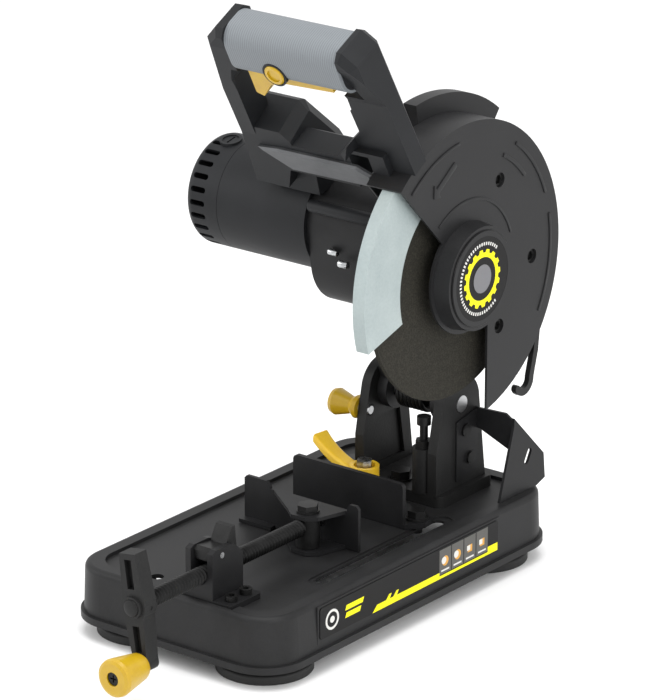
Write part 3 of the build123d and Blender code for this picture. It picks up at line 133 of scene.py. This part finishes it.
# %% [markdown]
# Most surfaces here are one of a few makes: powder-coated steel, moulded nylon, bare or
# plated steel. Up close none of them is even. Each has a fine grain from how it was made,
# and larger soft patches where it was handled, rubbed or dusted. One function builds that
# recipe: the grain's real size in millimetres sets the noise scale, the patches shift the
# colour between two tones, and both move the roughness a little.

# %% A recipe for grained surfaces
def grained(
    name, dark, light, grain_mm, grain_depth_mm, rough, patch_mm=40.0, stretch=(1, 1, 1),
    **shader_values,
):
    """A material with a fine grain of that size, over soft patches of two tones."""
    material, shader, place = new_material(name)
    turned = node(material, "ShaderNodeMapping", Vector=place, Scale=stretch).outputs["Vector"]
    grain = node(
        material, "ShaderNodeTexNoise", Vector=turned, Scale=1 / (grain_mm * MM), Detail=3.0,
        Roughness=0.55
    ).outputs["Fac"]
    patch = node(
        material, "ShaderNodeTexNoise", Vector=place, Scale=1 / (patch_mm * MM), Detail=4.0,
        Roughness=0.6
    ).outputs["Fac"]
    mixed = node(
        material, "ShaderNodeMath", {"operation": "MULTIPLY_ADD"}, i0=grain, i1=0.35, i2=patch,
    )
    ramp = node(material, "ShaderNodeValToRGB", Fac=mixed.outputs[0])
    ramp.color_ramp.elements[0].position, ramp.color_ramp.elements[0].color = 0.4, colour(dark)
    ramp.color_ramp.elements[1].position, ramp.color_ramp.elements[1].color = 0.95, colour(light)
    link(material, ramp.outputs["Color"], shader.inputs["Base Color"])
    spread = node(
        material, "ShaderNodeMapRange", Value=mixed.outputs[0], i1=0.4, i2=0.95, i3=rough[0],
        i4=rough[1]
    )
    link(material, spread.outputs[0], shader.inputs["Roughness"])
    bump = node(
        material, "ShaderNodeBump", Height=grain, Distance=grain_depth_mm * MM, Strength=0.6,
    )
    link(material, bump.outputs["Normal"], shader.inputs["Normal"])
    for key, value in shader_values.items():
        shader.inputs[key.replace("_", " ")].default_value = value
    return material


# Powder coat on sheet steel: a fine orange peel, satin, with a weak sheen.
powder_coat = grained(
    "powder_coated_steel", "191919", "29292A", 1.1, 0.05, (0.42, 0.56), Specular_IOR_Level=0.2,
)
frame_coat = grained(
    "powder_coated_brackets", "131314", "222223", 0.9, 0.05, (0.4, 0.54), Specular_IOR_Level=0.2,
)
guard_coat = grained(
    "stove_enamelled_guard", "1B1B1C", "272728", 1.4, 0.04, (0.38, 0.5), patch_mm=70.0,
    Specular_IOR_Level=0.22,
)
# The swinging guard is zinc-grey enamel: smoother and lighter.
grey_enamel = grained(
    "pale_grey_enamel", "8A9697", "A8B2B1", 1.8, 0.02, (0.36, 0.46), patch_mm=60.0,
)
# Glass-filled nylon: spark-eroded mould texture, matt with a broad sheen.
nylon = grained(
    "glass_filled_nylon", "151618", "222325", 0.7, 0.06, (0.46, 0.6), Specular_IOR_Level=0.2,
)
# Sand-cast iron under black paint: coarse and uneven.
cast_iron = grained(
    "painted_cast_iron", "141414", "232323", 2.0, 0.16, (0.44, 0.62), Specular_IOR_Level=0.22,
)
cast_alloy = grained(
    "coated_cast_alloy", "151516", "222223", 1.6, 0.1, (0.4, 0.58), Specular_IOR_Level=0.22,
)
rubber = grained("black_rubber", "111111", "202020", 1.2, 0.05, (0.6, 0.78), IOR=1.52)
# Bright zinc plate: fine, slightly blue, and dulled where it was handled.
zinc_plate = grained(
    "zinc_plated_steel", "8E9093", "D6D8D8", 0.6, 0.01, (0.2, 0.4), patch_mm=8.0, Metallic=1.0,
)
black_oxide = grained(
    "blackened_steel", "111111", "242424", 0.6, 0.02, (0.34, 0.48), patch_mm=10.0, Metallic=0.4,
    Specular_IOR_Level=0.3,
)
ground_steel = grained(
    "ground_steel", "8A8B8C", "C8C9CA", 0.5, 0.01, (0.22, 0.38), stretch=(0.15, 1, 1),
    Metallic=1.0,
)
yellow_nylon = grained(
    "yellow_moulded_nylon", "AC860A", "C2A116", 1.0, 0.03, (0.32, 0.44), patch_mm=25.0,
    Coat_Weight=0.15,
)
yellow_coat = grained(
    "yellow_powder_coat", "E8B81E", "F8D03A", 0.9, 0.04, (0.34, 0.46), patch_mm=25.0,
)
brushed_alloy = grained(
    "brushed_aluminium", "3C3D3F", "5E5F61", 0.5, 0.02, (0.34, 0.5), stretch=(0.05, 1, 1),
    Metallic=0.5,
)
copper_winding = grained(
    "enamelled_copper", "6E3217", "B4693A", 0.9, 0.1, (0.3, 0.5), patch_mm=6.0, Metallic=0.7,
)
carbon_block = grained("pressed_carbon", "0E0E0E", "1D1D1D", 0.5, 0.03, (0.55, 0.7))
print("grained finishes:", len(bpy.data.materials))

# %% [markdown]
# A resin-bonded cutting disc is coarse abrasive grit pressed round glass-fibre cloth. The
# eye sees dark grains of about a millimetre and a faint square weave of about 4 mm under
# them. Voronoi cells give the grit, and two wave textures the weave.

# %% The cutting disc's grit
abrasive, shader, place = new_material("resin_bonded_abrasive")
grit = node(abrasive, "ShaderNodeTexVoronoi", Vector=place, Scale=1 / (1.1 * MM))
weave_along = node(
    abrasive, "ShaderNodeTexWave", {"bands_direction": "Y"}, Vector=place, Scale=0.157 / (4 * MM),
)
weave_up = node(
    abrasive, "ShaderNodeTexWave", {"bands_direction": "Z"}, Vector=place, Scale=0.157 / (4 * MM),
)
weave = node(
    abrasive, "ShaderNodeMath", {"operation": "MULTIPLY"}, i0=weave_along.outputs["Fac"],
    i1=weave_up.outputs["Fac"]
)
mixed = node(
    abrasive, "ShaderNodeMath", {"operation": "MULTIPLY_ADD"}, i0=weave.outputs[0], i1=0.1,
    i2=grit.outputs[0],
)
ramp = node(abrasive, "ShaderNodeValToRGB", Fac=mixed.outputs[0])
ramp.color_ramp.elements[0].color = colour("1B1A17")
ramp.color_ramp.elements[1].color = colour("35332C")
link(abrasive, ramp.outputs["Color"], shader.inputs["Base Color"])
bump = node(abrasive, "ShaderNodeBump", Height=mixed.outputs[0], Distance=0.16 * MM, Strength=0.5)
link(abrasive, bump.outputs["Normal"], shader.inputs["Normal"])
shader.inputs["Roughness"].default_value = 0.82
shader.inputs["Specular IOR Level"].default_value = 0.2
print("grit per metre:", round(1 / (1.1 * MM)))

# %% [markdown]
# The soft grip is moulded in thermoplastic rubber with fine ribs round the bar, too fine to
# count from a step away: about 0.9 mm apart and shallow.

# %% The grip's ribs
grip_rubber, shader, place = new_material("ribbed_grip_rubber")
ribs = node(
    grip_rubber, "ShaderNodeTexWave", {"bands_direction": "X"}, Vector=place,
    Scale=0.157 / (0.9 * MM), Distortion=0.2,
)
pores = node(grip_rubber, "ShaderNodeTexNoise", Vector=place, Scale=1 / (0.9 * MM), Detail=3.0)
height = node(
    grip_rubber, "ShaderNodeMath", {"operation": "MULTIPLY_ADD"}, i0=pores.outputs["Fac"], i1=0.6,
    i2=ribs.outputs["Fac"]
)
ramp = node(grip_rubber, "ShaderNodeValToRGB", Fac=height.outputs[0])
ramp.color_ramp.elements[0].color = colour("5D6165")
ramp.color_ramp.elements[1].color = colour("74797D")
link(grip_rubber, ramp.outputs["Color"], shader.inputs["Base Color"])
bump = node(
    grip_rubber, "ShaderNodeBump", Height=height.outputs[0], Distance=0.08 * MM, Strength=0.5,
)
link(grip_rubber, bump.outputs["Normal"], shader.inputs["Normal"])
shader.inputs["Roughness"].default_value = 0.62
print("ribs per metre:", round(1 / (0.9 * MM)))

# %% [markdown]
# Printed film is the flattest surface on the machine: an even ink under a clear laminate.
# Only a slight ripple of the laminate and a faint coat tell it from paint. Each ink is one
# material, built by one function.

# %% Printed inks
def ink(name, hex_value):
    """One flat ink under a clear laminate."""
    material, shader, place = new_material(name)
    fleck = node(material, "ShaderNodeTexNoise", Vector=place, Scale=1 / (1.5 * MM), Detail=2.0)
    tone = node(
        material, "ShaderNodeMix", {"data_type": "RGBA", "blend_type": "MULTIPLY"}, i0=0.12,
        i6=colour(hex_value), i7=fleck.outputs["Color"],
    )
    link(material, tone.outputs[2], shader.inputs["Base Color"])
    ripple = node(
        material, "ShaderNodeBump", Height=fleck.outputs["Fac"], Distance=0.01 * MM, Strength=0.3,
    )
    link(material, ripple.outputs["Normal"], shader.inputs["Normal"])
    shader.inputs["Roughness"].default_value = 0.42
    shader.inputs["Specular IOR Level"].default_value = 0.15
    shader.inputs["Coat Weight"].default_value = 0.05
    return material


black_ink, yellow_ink = ink("black_label_film", "0C0B0C"), ink("yellow_label_ink", "F4EC10")
grey_ink, white_ink = ink("grey_label_ink", "5C5B58"), ink("white_label_ink", "D9D8D4")
tan_ink, pale_grey_ink = ink("tan_label_ink", "D9A24C"), ink("pale_grey_label_ink", "77777A")
print(
    "inks:",
    [m.name for m in (black_ink, yellow_ink, grey_ink, white_ink, tan_ink, pale_grey_ink)],
)

# %% [markdown]
# Each CAD part now gets its finish. The table is read once: a slot of the record is a make
# of surface, and the table gives the material for each.

# %% Finishes on the CAD parts
finishes = {
    "painted_steel": powder_coat, "frame_paint": frame_coat, "guard_paint": guard_coat,
    "guard_grey": grey_enamel,
    "housing_plastic": nylon, "rubber_black": rubber, "grip_rubber": grip_rubber,
    "yellow_plastic": yellow_nylon,
    "yellow_lever": yellow_coat, "zinc_steel": zinc_plate, "black_steel": black_oxide,
    "bare_steel": ground_steel,
    "cast_black": cast_iron, "gear_alloy": cast_alloy, "disc_abrasive": abrasive,
    "label_film": black_ink,
    "badge_film": black_ink, "plate_alloy": brushed_alloy, "copper": copper_winding,
    "carbon": carbon_block,
}
for entry in frame["record"]["subparts"]:
    part = nodes[entry["node"]]
    part.data.materials.clear()
    part.data.materials.append(finishes[entry["material_slot"]])

# %% [markdown]
# New pieces start from a primitive that is shaped in edit mode. A few helpers do what every
# piece needs: keep everything else deselected, run an operator in edit mode, put the mesh
# in its place, and hand the finished piece to its body with its finish.

# %% Helpers for new pieces
def deselect():
    """Clears the selection, so an operator touches only the piece in hand."""
    for each in bpy.context.view_layer.objects:
        each.select_set(False)


def edit(piece, *steps):
    """Runs operator steps on the whole of a piece in edit mode."""
    deselect()
    piece.select_set(True)
    bpy.context.view_layer.objects.active = piece
    bpy.ops.object.mode_set(mode="EDIT")
    bpy.ops.mesh.select_all(action="SELECT")
    for step in steps:
        step()
    bpy.ops.object.mode_set(mode="OBJECT")


def modify(piece, kind, **settings):
    """Adds a modifier and applies it."""
    deselect()
    piece.select_set(True)
    bpy.context.view_layer.objects.active = piece
    made = piece.modifiers.new(kind.lower(), kind)
    for name, value in settings.items():
        setattr(made, name, value)
    bpy.ops.object.modifier_apply(modifier=made.name)


def tidy_normals():
    """Welds doubled points and turns the faces outwards."""
    bpy.ops.mesh.remove_doubles(threshold=0.00001)
    bpy.ops.mesh.normals_make_consistent(inside=False)


def place_on(piece, matrix):
    """Moves a piece's mesh to its place and leaves the object at the origin."""
    piece.data.transform(matrix)
    piece.matrix_world = Matrix()
    if matrix.determinant() < 0:
        edit(piece, tidy_normals)


def hand_over(piece, name, material, body, smooth_angle=35):
    """Names a finished piece, smooths it, gives its finish, and lets it ride on its body."""
    piece.name = piece.data.name = name
    piece.data.materials.clear()
    piece.data.materials.append(material)
    deselect()
    piece.select_set(True)
    bpy.context.view_layer.objects.active = piece
    bpy.ops.object.shade_smooth_by_angle(angle=radians(smooth_angle))
    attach(piece, body)
    print(name, len(piece.data.polygons), "faces on", body)


# Local X, Y, Z go to row Y, Z, X: a flat piece drawn in XY stands on the saw's side.
side_view = Matrix(((0, 0, 1, 0), (1, 0, 0, 0), (0, 1, 0, 0), (0, 0, 0, 1)))
print("helpers ready")

# %% [markdown]
# The clamp screw has a rolled thread of 3 mm pitch. A texture can't fake it, because its
# outline shows against the base. The Screw modifier winds one tooth's profile up the bar:
# each turn rises by one pitch, so the turns meet and are welded.

# %% One profile, wound into a thread or a coil
def wound(profile, closed, pitch, turns, steps=28):
    """Winds a profile of (radius, height) points round Z, rising a pitch each turn."""
    deselect()
    bpy.ops.mesh.primitive_circle_add(vertices=len(profile), radius=0.01)
    piece = bpy.context.active_object
    for vertex, (radius, height) in zip(piece.data.vertices, profile):
        vertex.co = (radius * MM, 0, height * MM)
    if not closed:
        shape = bmesh.new()
        shape.from_mesh(piece.data)
        shape.verts.ensure_lookup_table()
        ends = {shape.verts[0], shape.verts[len(profile) - 1]}
        bmesh.ops.delete(
            shape, geom=[e for e in shape.edges if set(e.verts) == ends], context="EDGES",
        )
        shape.to_mesh(piece.data)
        shape.free()
    modify(
        piece, "SCREW", axis="Z", angle=2 * pi, screw_offset=pitch * MM, iterations=turns,
        steps=steps,
        render_steps=steps, use_merge_vertices=False,
    )
    edit(
        piece,
        lambda: bpy.ops.mesh.remove_doubles(threshold=0.00001),
        lambda: bpy.ops.mesh.fill_holes(sides=0),
        tidy_normals,
    )
    return piece


def round_bar(radius, low, high, edge=0.4, sides=48):
    """A bevelled round bar along Z between two heights, all in millimetres."""
    deselect()
    bpy.ops.mesh.primitive_cylinder_add(
        vertices=sides, radius=radius * MM, depth=(high - low) * MM,
    )
    bar = bpy.context.active_object
    bar.data.transform(Matrix.Translation((0, 0, (high + low) / 2 * MM)))
    modify(
        bar, "BEVEL", width=edge * MM, segments=2, limit_method="ANGLE", angle_limit=radians(50),
    )
    return bar


def join(*pieces):
    """Joins pieces into the first."""
    deselect()
    for each in pieces:
        each.select_set(True)
    bpy.context.view_layer.objects.active = pieces[0]
    bpy.ops.object.join()
    return pieces[0]


screw_low, screw_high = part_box("vise_screw")
screw_x = (screw_low[0] + screw_high[0]) / 2 / MM
screw_z = (screw_low[2] + screw_high[2]) / 2 / MM
screw_front, screw_rear = screw_low[1] / MM, screw_high[1] / MM
crest = (screw_high[0] - screw_low[0]) / 2 / MM - 0.02
thread_depth, pitch = 1.15, 3.0
plain_front, plain_rear = 16.0, 21.4
journal_radius, journal_length = 3.38, 23.0
tip_radius, tip_length = 5.45, 3.6
root = crest - thread_depth
tooth = ((root, 0.0), (crest, 0.95), (crest, 1.45), (root, 2.4), (root, 3.0))
thread_turns = int((screw_rear - plain_rear - (screw_front + plain_front)) / pitch)
thread = wound(tooth, False, pitch, thread_turns)
thread.data.transform(Matrix.Translation((0, 0, plain_front * MM)))
length = screw_rear - screw_front
screw_piece = join(
    thread,
    round_bar(crest, 0.0, plain_front + 1.0, 1.0),
    round_bar(journal_radius, length - journal_length, length - 0.1, 0.1),
    round_bar(tip_radius, length - tip_length, length, 0.4),
)
along_y = Matrix((
    (1, 0, 0, screw_x * MM),
    (0, 0, 1, screw_front * MM),
    (0, -1, 0, screw_z * MM),
    (0, 0, 0, 1),
))
place_on(screw_piece, along_y)
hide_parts("vise_screw")
hand_over(screw_piece, "threaded_vise_screw", black_oxide, "vise_screw")

# %% [markdown]
# The return spring is one wire wound round the hinge. The same helper winds a small circle,
# the wire's section, along the hinge line. Its ends stay tucked in beside the bracket.

# %% The torsion spring
spring_low, spring_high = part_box("torsion_spring")
hinge_y = (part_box("hinge_pin")[0][1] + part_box("hinge_pin")[1][1]) / 2 / MM
hinge_z = (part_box("hinge_pin")[0][2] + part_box("hinge_pin")[1][2]) / 2 / MM
wire, around_wire = 1.55, 14
coil_radius = (spring_high[1] - spring_low[1]) / 2 / MM - wire - 0.05
spring_length = (spring_high[0] - spring_low[0]) / MM
spring_turns = 7
spring_pitch = (spring_length - 2 * wire - 0.1) / spring_turns
section = []
for k in range(around_wire):
    turn = 2 * pi * k / around_wire
    section.append((coil_radius + wire * cos(turn), wire + wire * sin(turn)))
spring = wound(section, True, spring_pitch, spring_turns, steps=36)
# Local Z goes to row X.
place_on(
    spring,
    Matrix((
        (0, 0, 1, spring_low[0]), (1, 0, 0, hinge_y * MM), (0, 1, 0, hinge_z * MM), (0, 0, 0, 1)
    )),
)
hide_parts("torsion_spring")
hand_over(spring, "wound_torsion_spring", black_oxide, "base", 60)

# %% [markdown]
# Flat things such as a label's printed areas or the arrow embossed on the guard are drawn as
# an outline, filled, given a thickness and softened at the edge. They are real geometry,
# a few tenths of a millimetre proud, so that they catch light as a printed or pressed edge
# does.

# %% Flat plates on the saw's side
def plate(outline, x_from, thick, edge=0.0):
    """A thin plate on the side of the saw. The outline is (y, z) points in millimetres."""
    deselect()
    bpy.ops.mesh.primitive_circle_add(vertices=len(outline), radius=0.01, fill_type="NGON")
    piece = bpy.context.active_object
    for vertex, (y, z) in zip(piece.data.vertices, outline):
        vertex.co = (y * MM, z * MM, 0)
    edit(
        piece,
        lambda: bpy.ops.mesh.extrude_region_move(
            TRANSFORM_OT_translate={"value": (0, 0, thick * MM)},
        ),
        lambda: bpy.ops.mesh.select_all(action="SELECT"),
        tidy_normals,
    )
    if edge:
        modify(
            piece, "BEVEL", width=edge * MM, segments=2, limit_method="ANGLE",
            angle_limit=radians(50),
        )
    place_on(piece, Matrix.Translation((x_from * MM, 0, 0)) @ side_view)
    return piece


def ring_points(centre, radius, start, end, count):
    """Points along an arc, in degrees."""
    turns = [radians(start + (end - start) * k / (count - 1)) for k in range(count)]
    return [(centre[0] + radius * cos(t), centre[1] + radius * sin(t)) for t in turns]


def arc_band(centre, inner, outer, start, end, count=24):
    """The outline of a bent band."""
    outside = ring_points(centre, outer, start, end, count)
    return outside + ring_points(centre, inner, end, start, count)


# Millimetres. A film's print starts just under its surface, and prints stack up from it.
FIRST_PRINT, OVERPRINT, TOP_PRINT, PRINT_THICK = -0.02, 0.06, 0.1, 0.1


def printed(outline, face, lift=FIRST_PRINT):
    """One printed area on a film whose surface is at x = face."""
    return plate(outline, face + lift, PRINT_THICK)


def full_ring(centre, inner, outer, face):
    """A flat ring on a face, as two half bands."""
    return [
        printed(arc_band(centre, inner, outer, start, start + 180), face)
        for start in (0, 180)
    ]


label_low, label_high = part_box("base_label")
label_x = label_high[0] / MM
front_y, rear_y = label_low[1] / MM, label_high[1] / MM
foot_z, head_z = label_low[2] / MM, label_high[2] / MM
stripe = printed(
    [
        (front_y + 57, foot_z + 0.4), (rear_y - 0.6, foot_z + 0.4),
        (rear_y - 0.6, foot_z + 6.2), (rear_y - 12, foot_z + 6.2),
        (rear_y - 12, foot_z + 2.4), (rear_y - 68, foot_z + 2.4),
        (rear_y - 68, foot_z + 5.0), (front_y + 84, foot_z + 5.0),
        (front_y + 86, foot_z + 8.4), (front_y + 83.4, foot_z + 8.4),
        (front_y + 80, foot_z + 5.0), (front_y + 76, foot_z + 5.0),
        (front_y + 78, foot_z + 8.4), (front_y + 75.4, foot_z + 8.4),
        (front_y + 72, foot_z + 5.0), (front_y + 62, foot_z + 5.0),
    ],
    label_x,
)
hand_over(stripe, "label_stripe", yellow_ink, "base")
tiles, shapes_tan, shapes_white = [], [], []
for k in range(4):
    tile_y = rear_y - 68 + 14.2 * k
    tiles.append(printed(
        [
            (tile_y, foot_z + 3.2), (tile_y + 13.2, foot_z + 3.2), (tile_y + 13.2, head_z - 1.2),
            (tile_y, head_z - 1.2),
        ],
        label_x,
    ))
    middle = (tile_y + 6.6, foot_z + 12.2)
    sides = (32, 32, 4, 4)[k]
    turn = (0, 0, 45, 45)[k]
    shapes_tan.append(
        printed(
            ring_points(middle, 3.6, turn, turn + 360 * (sides - 1) / sides, sides), label_x,
            OVERPRINT,
        ),
    )
    away = (middle[0] - 1.6, middle[1] + 0.6)
    shapes_white.append(
        printed(
            ring_points(away, 2.6, turn, turn + 360 * (sides - 1) / sides, sides), label_x,
            TOP_PRINT,
        ),
    )
    shapes_white.append(printed(
        [
            (tile_y + 2, foot_z + 5), (tile_y + 11, foot_z + 5), (tile_y + 11, foot_z + 6.2),
            (tile_y + 2, foot_z + 6.2),
        ],
        label_x, OVERPRINT,
    ))
hand_over(join(*tiles), "label_tiles", grey_ink, "base")
hand_over(join(*shapes_tan), "label_bar_shapes", tan_ink, "base")
hand_over(join(*shapes_white), "label_bar_ends", white_ink, "base")
bars = []
for row, (start, end) in enumerate(((27, 46), (27, 43))):
    low = foot_z + 12.4 - 5.4 * row
    bars.append(printed(
        [
            (front_y + start, low), (front_y + end, low), (front_y + end + 1.5, low + 3.6),
            (front_y + start + 1.5, low + 3.6),
        ],
        label_x,
    ))
hand_over(join(*bars), "label_bars", yellow_ink, "base")
wheel = (front_y + 13, foot_z + 11)
hand_over(
    join(
        *full_ring(wheel, 5.4, 7.2, label_x),
        printed(ring_points(wheel, 2.4, 0, 345, 24), label_x, OVERPRINT),
    ),
    "label_wheel", white_ink, "base",
)

# %% [markdown]
# The badge on the arbor cover is a film disc. Its print is generic here: a pale ring of
# short ticks inside a dark rim, and a yellow toothed wheel round a grey centre.

# %% The badge's print
badge_low, badge_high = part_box("guard_badge")
arbor = ((badge_low[1] + badge_high[1]) / 2 / MM, (badge_low[2] + badge_high[2]) / 2 / MM)
badge_x = badge_high[0] / MM
ticks = [
    printed(arc_band(arbor, 23.4, 25.6, 6 * k, 6 * k + 3.2, 3), badge_x)
    for k in range(8, 52)
]
hand_over(join(*ticks), "badge_ticks", white_ink, "head")
teeth = []
for k in range(16):
    teeth += [
        (20.6, 22.5 * k), (20.6, 22.5 * k + 9), (18.4, 22.5 * k + 12), (18.4, 22.5 * k + 20),
    ]
toothed = [(arbor[0] + r * cos(radians(t)), arbor[1] + r * sin(radians(t))) for r, t in teeth]
wheel_bands = []
for start in (0, 8):
    outer = toothed[4 * start:4 * start + 33] + (toothed[:1] if start else [])
    inner = ring_points(arbor, 15.2, 180 if start else 0, 360 if start else 180, 25)
    wheel_bands.append(printed(outer[:33] + inner[::-1], badge_x))
hand_over(join(*wheel_bands), "badge_wheel", yellow_ink, "head")
hand_over(
    join(*full_ring(arbor, 29.6, 33.2, badge_x)), "badge_rim", guard_coat, "head",
)
hand_over(
    plate(ring_points(arbor, 10.0, 0, 352.5, 48), badge_x + 0.1, 0.15), "badge_centre",
    pale_grey_ink, "head"
)

# %% [markdown]
# The guard is pressed steel, and its face is stiffened: a low arrow shows which way the disc
# turns, three bent ribs follow the rim at the back, one bead runs round the arbor cover and
# another along the rim in front. Each is a low plate with a rounded edge.

# %% Pressed details on the guard
# The recessed screws end at the back of the guard's sheet. Its thickness is in millimetres.
guard_sheet = 1.8
face_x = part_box("cover_screws")[1][0] / MM + guard_sheet
print("guard face at", round(face_x, 2))
arrow = plate(
    [
        (31, 291.5), (39, 291.0), (36.6, 294.4), (56.8, 308.6), (54.2, 312.2), (34.0, 298.0),
        (31.4, 301.4),
    ],
    face_x - 0.05, 0.9, 0.4,
)
hand_over(arrow, "guard_arrow", guard_coat, "head")
rib_bands = ((84, 87, 62, 40), (96, 98.5, 56, 22), (96, 98.5, 12, -30))
ribs = [
    plate(arc_band(arbor, inner, outer, start, end), face_x - 0.05, 0.8, 0.35)
    for inner, outer, start, end in rib_bands
]
hand_over(join(*ribs), "guard_ribs", guard_coat, "head")
hand_over(
    join(plate(arc_band(arbor, 52.0, 54.0, 128, 20, 40), face_x - 0.05, 0.7, 0.3),
         plate(arc_band(arbor, 95.0, 97.0, 131, 96, 40), face_x - 0.05, 0.9, 0.4)),
    "guard_step", guard_coat, "head",
)

# %% [markdown]
# The motor housing is moulded nylon. A ridge along its front holds a long case screw, and
# two plated pins of the swinging guard's linkage show under it, on the gear case. Each is a
# round bar laid along X and sunk into the housing by about half.

# %% Small parts on the motor housing
stator_low, stator_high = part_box("stator")
motor_centre = (
    (stator_low[1] + stator_high[1]) / 2 / MM, (stator_low[2] + stator_high[2]) / 2 / MM,
)


def bar_on_motor(radius, low, high, reach, turn, edge):
    """A round bar along X, at a distance and an angle from the motor's axis."""
    bar = round_bar(radius, low, high, edge)
    y = motor_centre[0] + reach * cos(radians(turn))
    z = motor_centre[1] + reach * sin(radians(turn))
    place_on(bar, Matrix.Translation((0, y * MM, z * MM)) @ side_view)
    return bar


hand_over(
    bar_on_motor(4.5, -27, 40, 40.6, 155, 2.0), "housing_screw_ridge", nylon, "head",
)
pins = join(bar_on_motor(2.2, -10, -2, 39.5, 198, 0.8), bar_on_motor(2.6, 1, 9, 44.0, 204, 0.8))
hand_over(pins, "guard_linkage_pins", zinc_plate, "head")
print("motor axis at", [round(c, 1) for c in motor_centre])

# %% [markdown]
# The room is plain: a pale floor, soft light from a broad lamp above and two at the sides,
# as in a product booth. The floor isn't part of the saw and rides on no body.

# %% Floor, light and camera
deselect()
bpy.ops.mesh.primitive_plane_add(size=12.0, location=(0, 0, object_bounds()[0][2] - 0.0002))
floor = bpy.context.active_object
floor.name = "floor"
floor_paper, shader, place = new_material("white_backdrop_paper")
shader.inputs["Base Color"].default_value = colour("F4F4F4")
shader.inputs["Roughness"].default_value = 0.9
floor.data.materials.append(floor_paper)

world = bpy.data.worlds.new("booth")
bpy.context.scene.world = world
world.use_nodes = True
background = world.node_tree.nodes["Background"]
background.inputs["Color"].default_value = colour("FFFFFF")
background.inputs["Strength"].default_value = 1.0


def lamp(name, place, aim, size, power):
    """A square soft lamp aimed at a point."""
    data = bpy.data.lights.new(name, "AREA")
    data.size, data.energy = size, power
    made = bpy.data.objects.new(name, data)
    made.location = place
    made.rotation_euler = (Vector(aim) - Vector(place)).to_track_quat("-Z", "Y").to_euler()
    bpy.context.scene.collection.objects.link(made)


lamp("top_lamp", (0.2, -0.2, 1.6), (0, 0, 0.1), 1.2, 16)
lamp("right_lamp", (1.5, -0.6, 0.9), (0, 0, 0.2), 0.8, 9)
lamp("left_lamp", (-1.3, -0.9, 0.8), (0, 0, 0.2), 0.8, 7)

camera_data = bpy.data.cameras.new("camera")
camera = bpy.data.objects.new("camera", camera_data)
bpy.context.scene.collection.objects.link(camera)
right = Vector((0.78765, 0.61612, 0.0))
up = Vector((-0.20842, 0.26644, 0.94105))
back = Vector((0.57980, -0.74122, 0.33827))
place = Vector((1.76577, -2.24992, 1.20537))
camera.matrix_world = Matrix((
    (right.x, up.x, back.x, place.x),
    (right.y, up.y, back.y, place.y),
    (right.z, up.z, back.z, place.z),
    (0, 0, 0, 1),
))
camera_data.sensor_width = 36.0
camera_data.lens = 230.0
bpy.context.scene.camera = camera
bpy.context.scene.view_settings.view_transform = "Standard"
print("camera at", [round(c, 3) for c in camera.location])

# %% [markdown]
# The last step clears the selection.

# %% The end of the lesson
deselect()
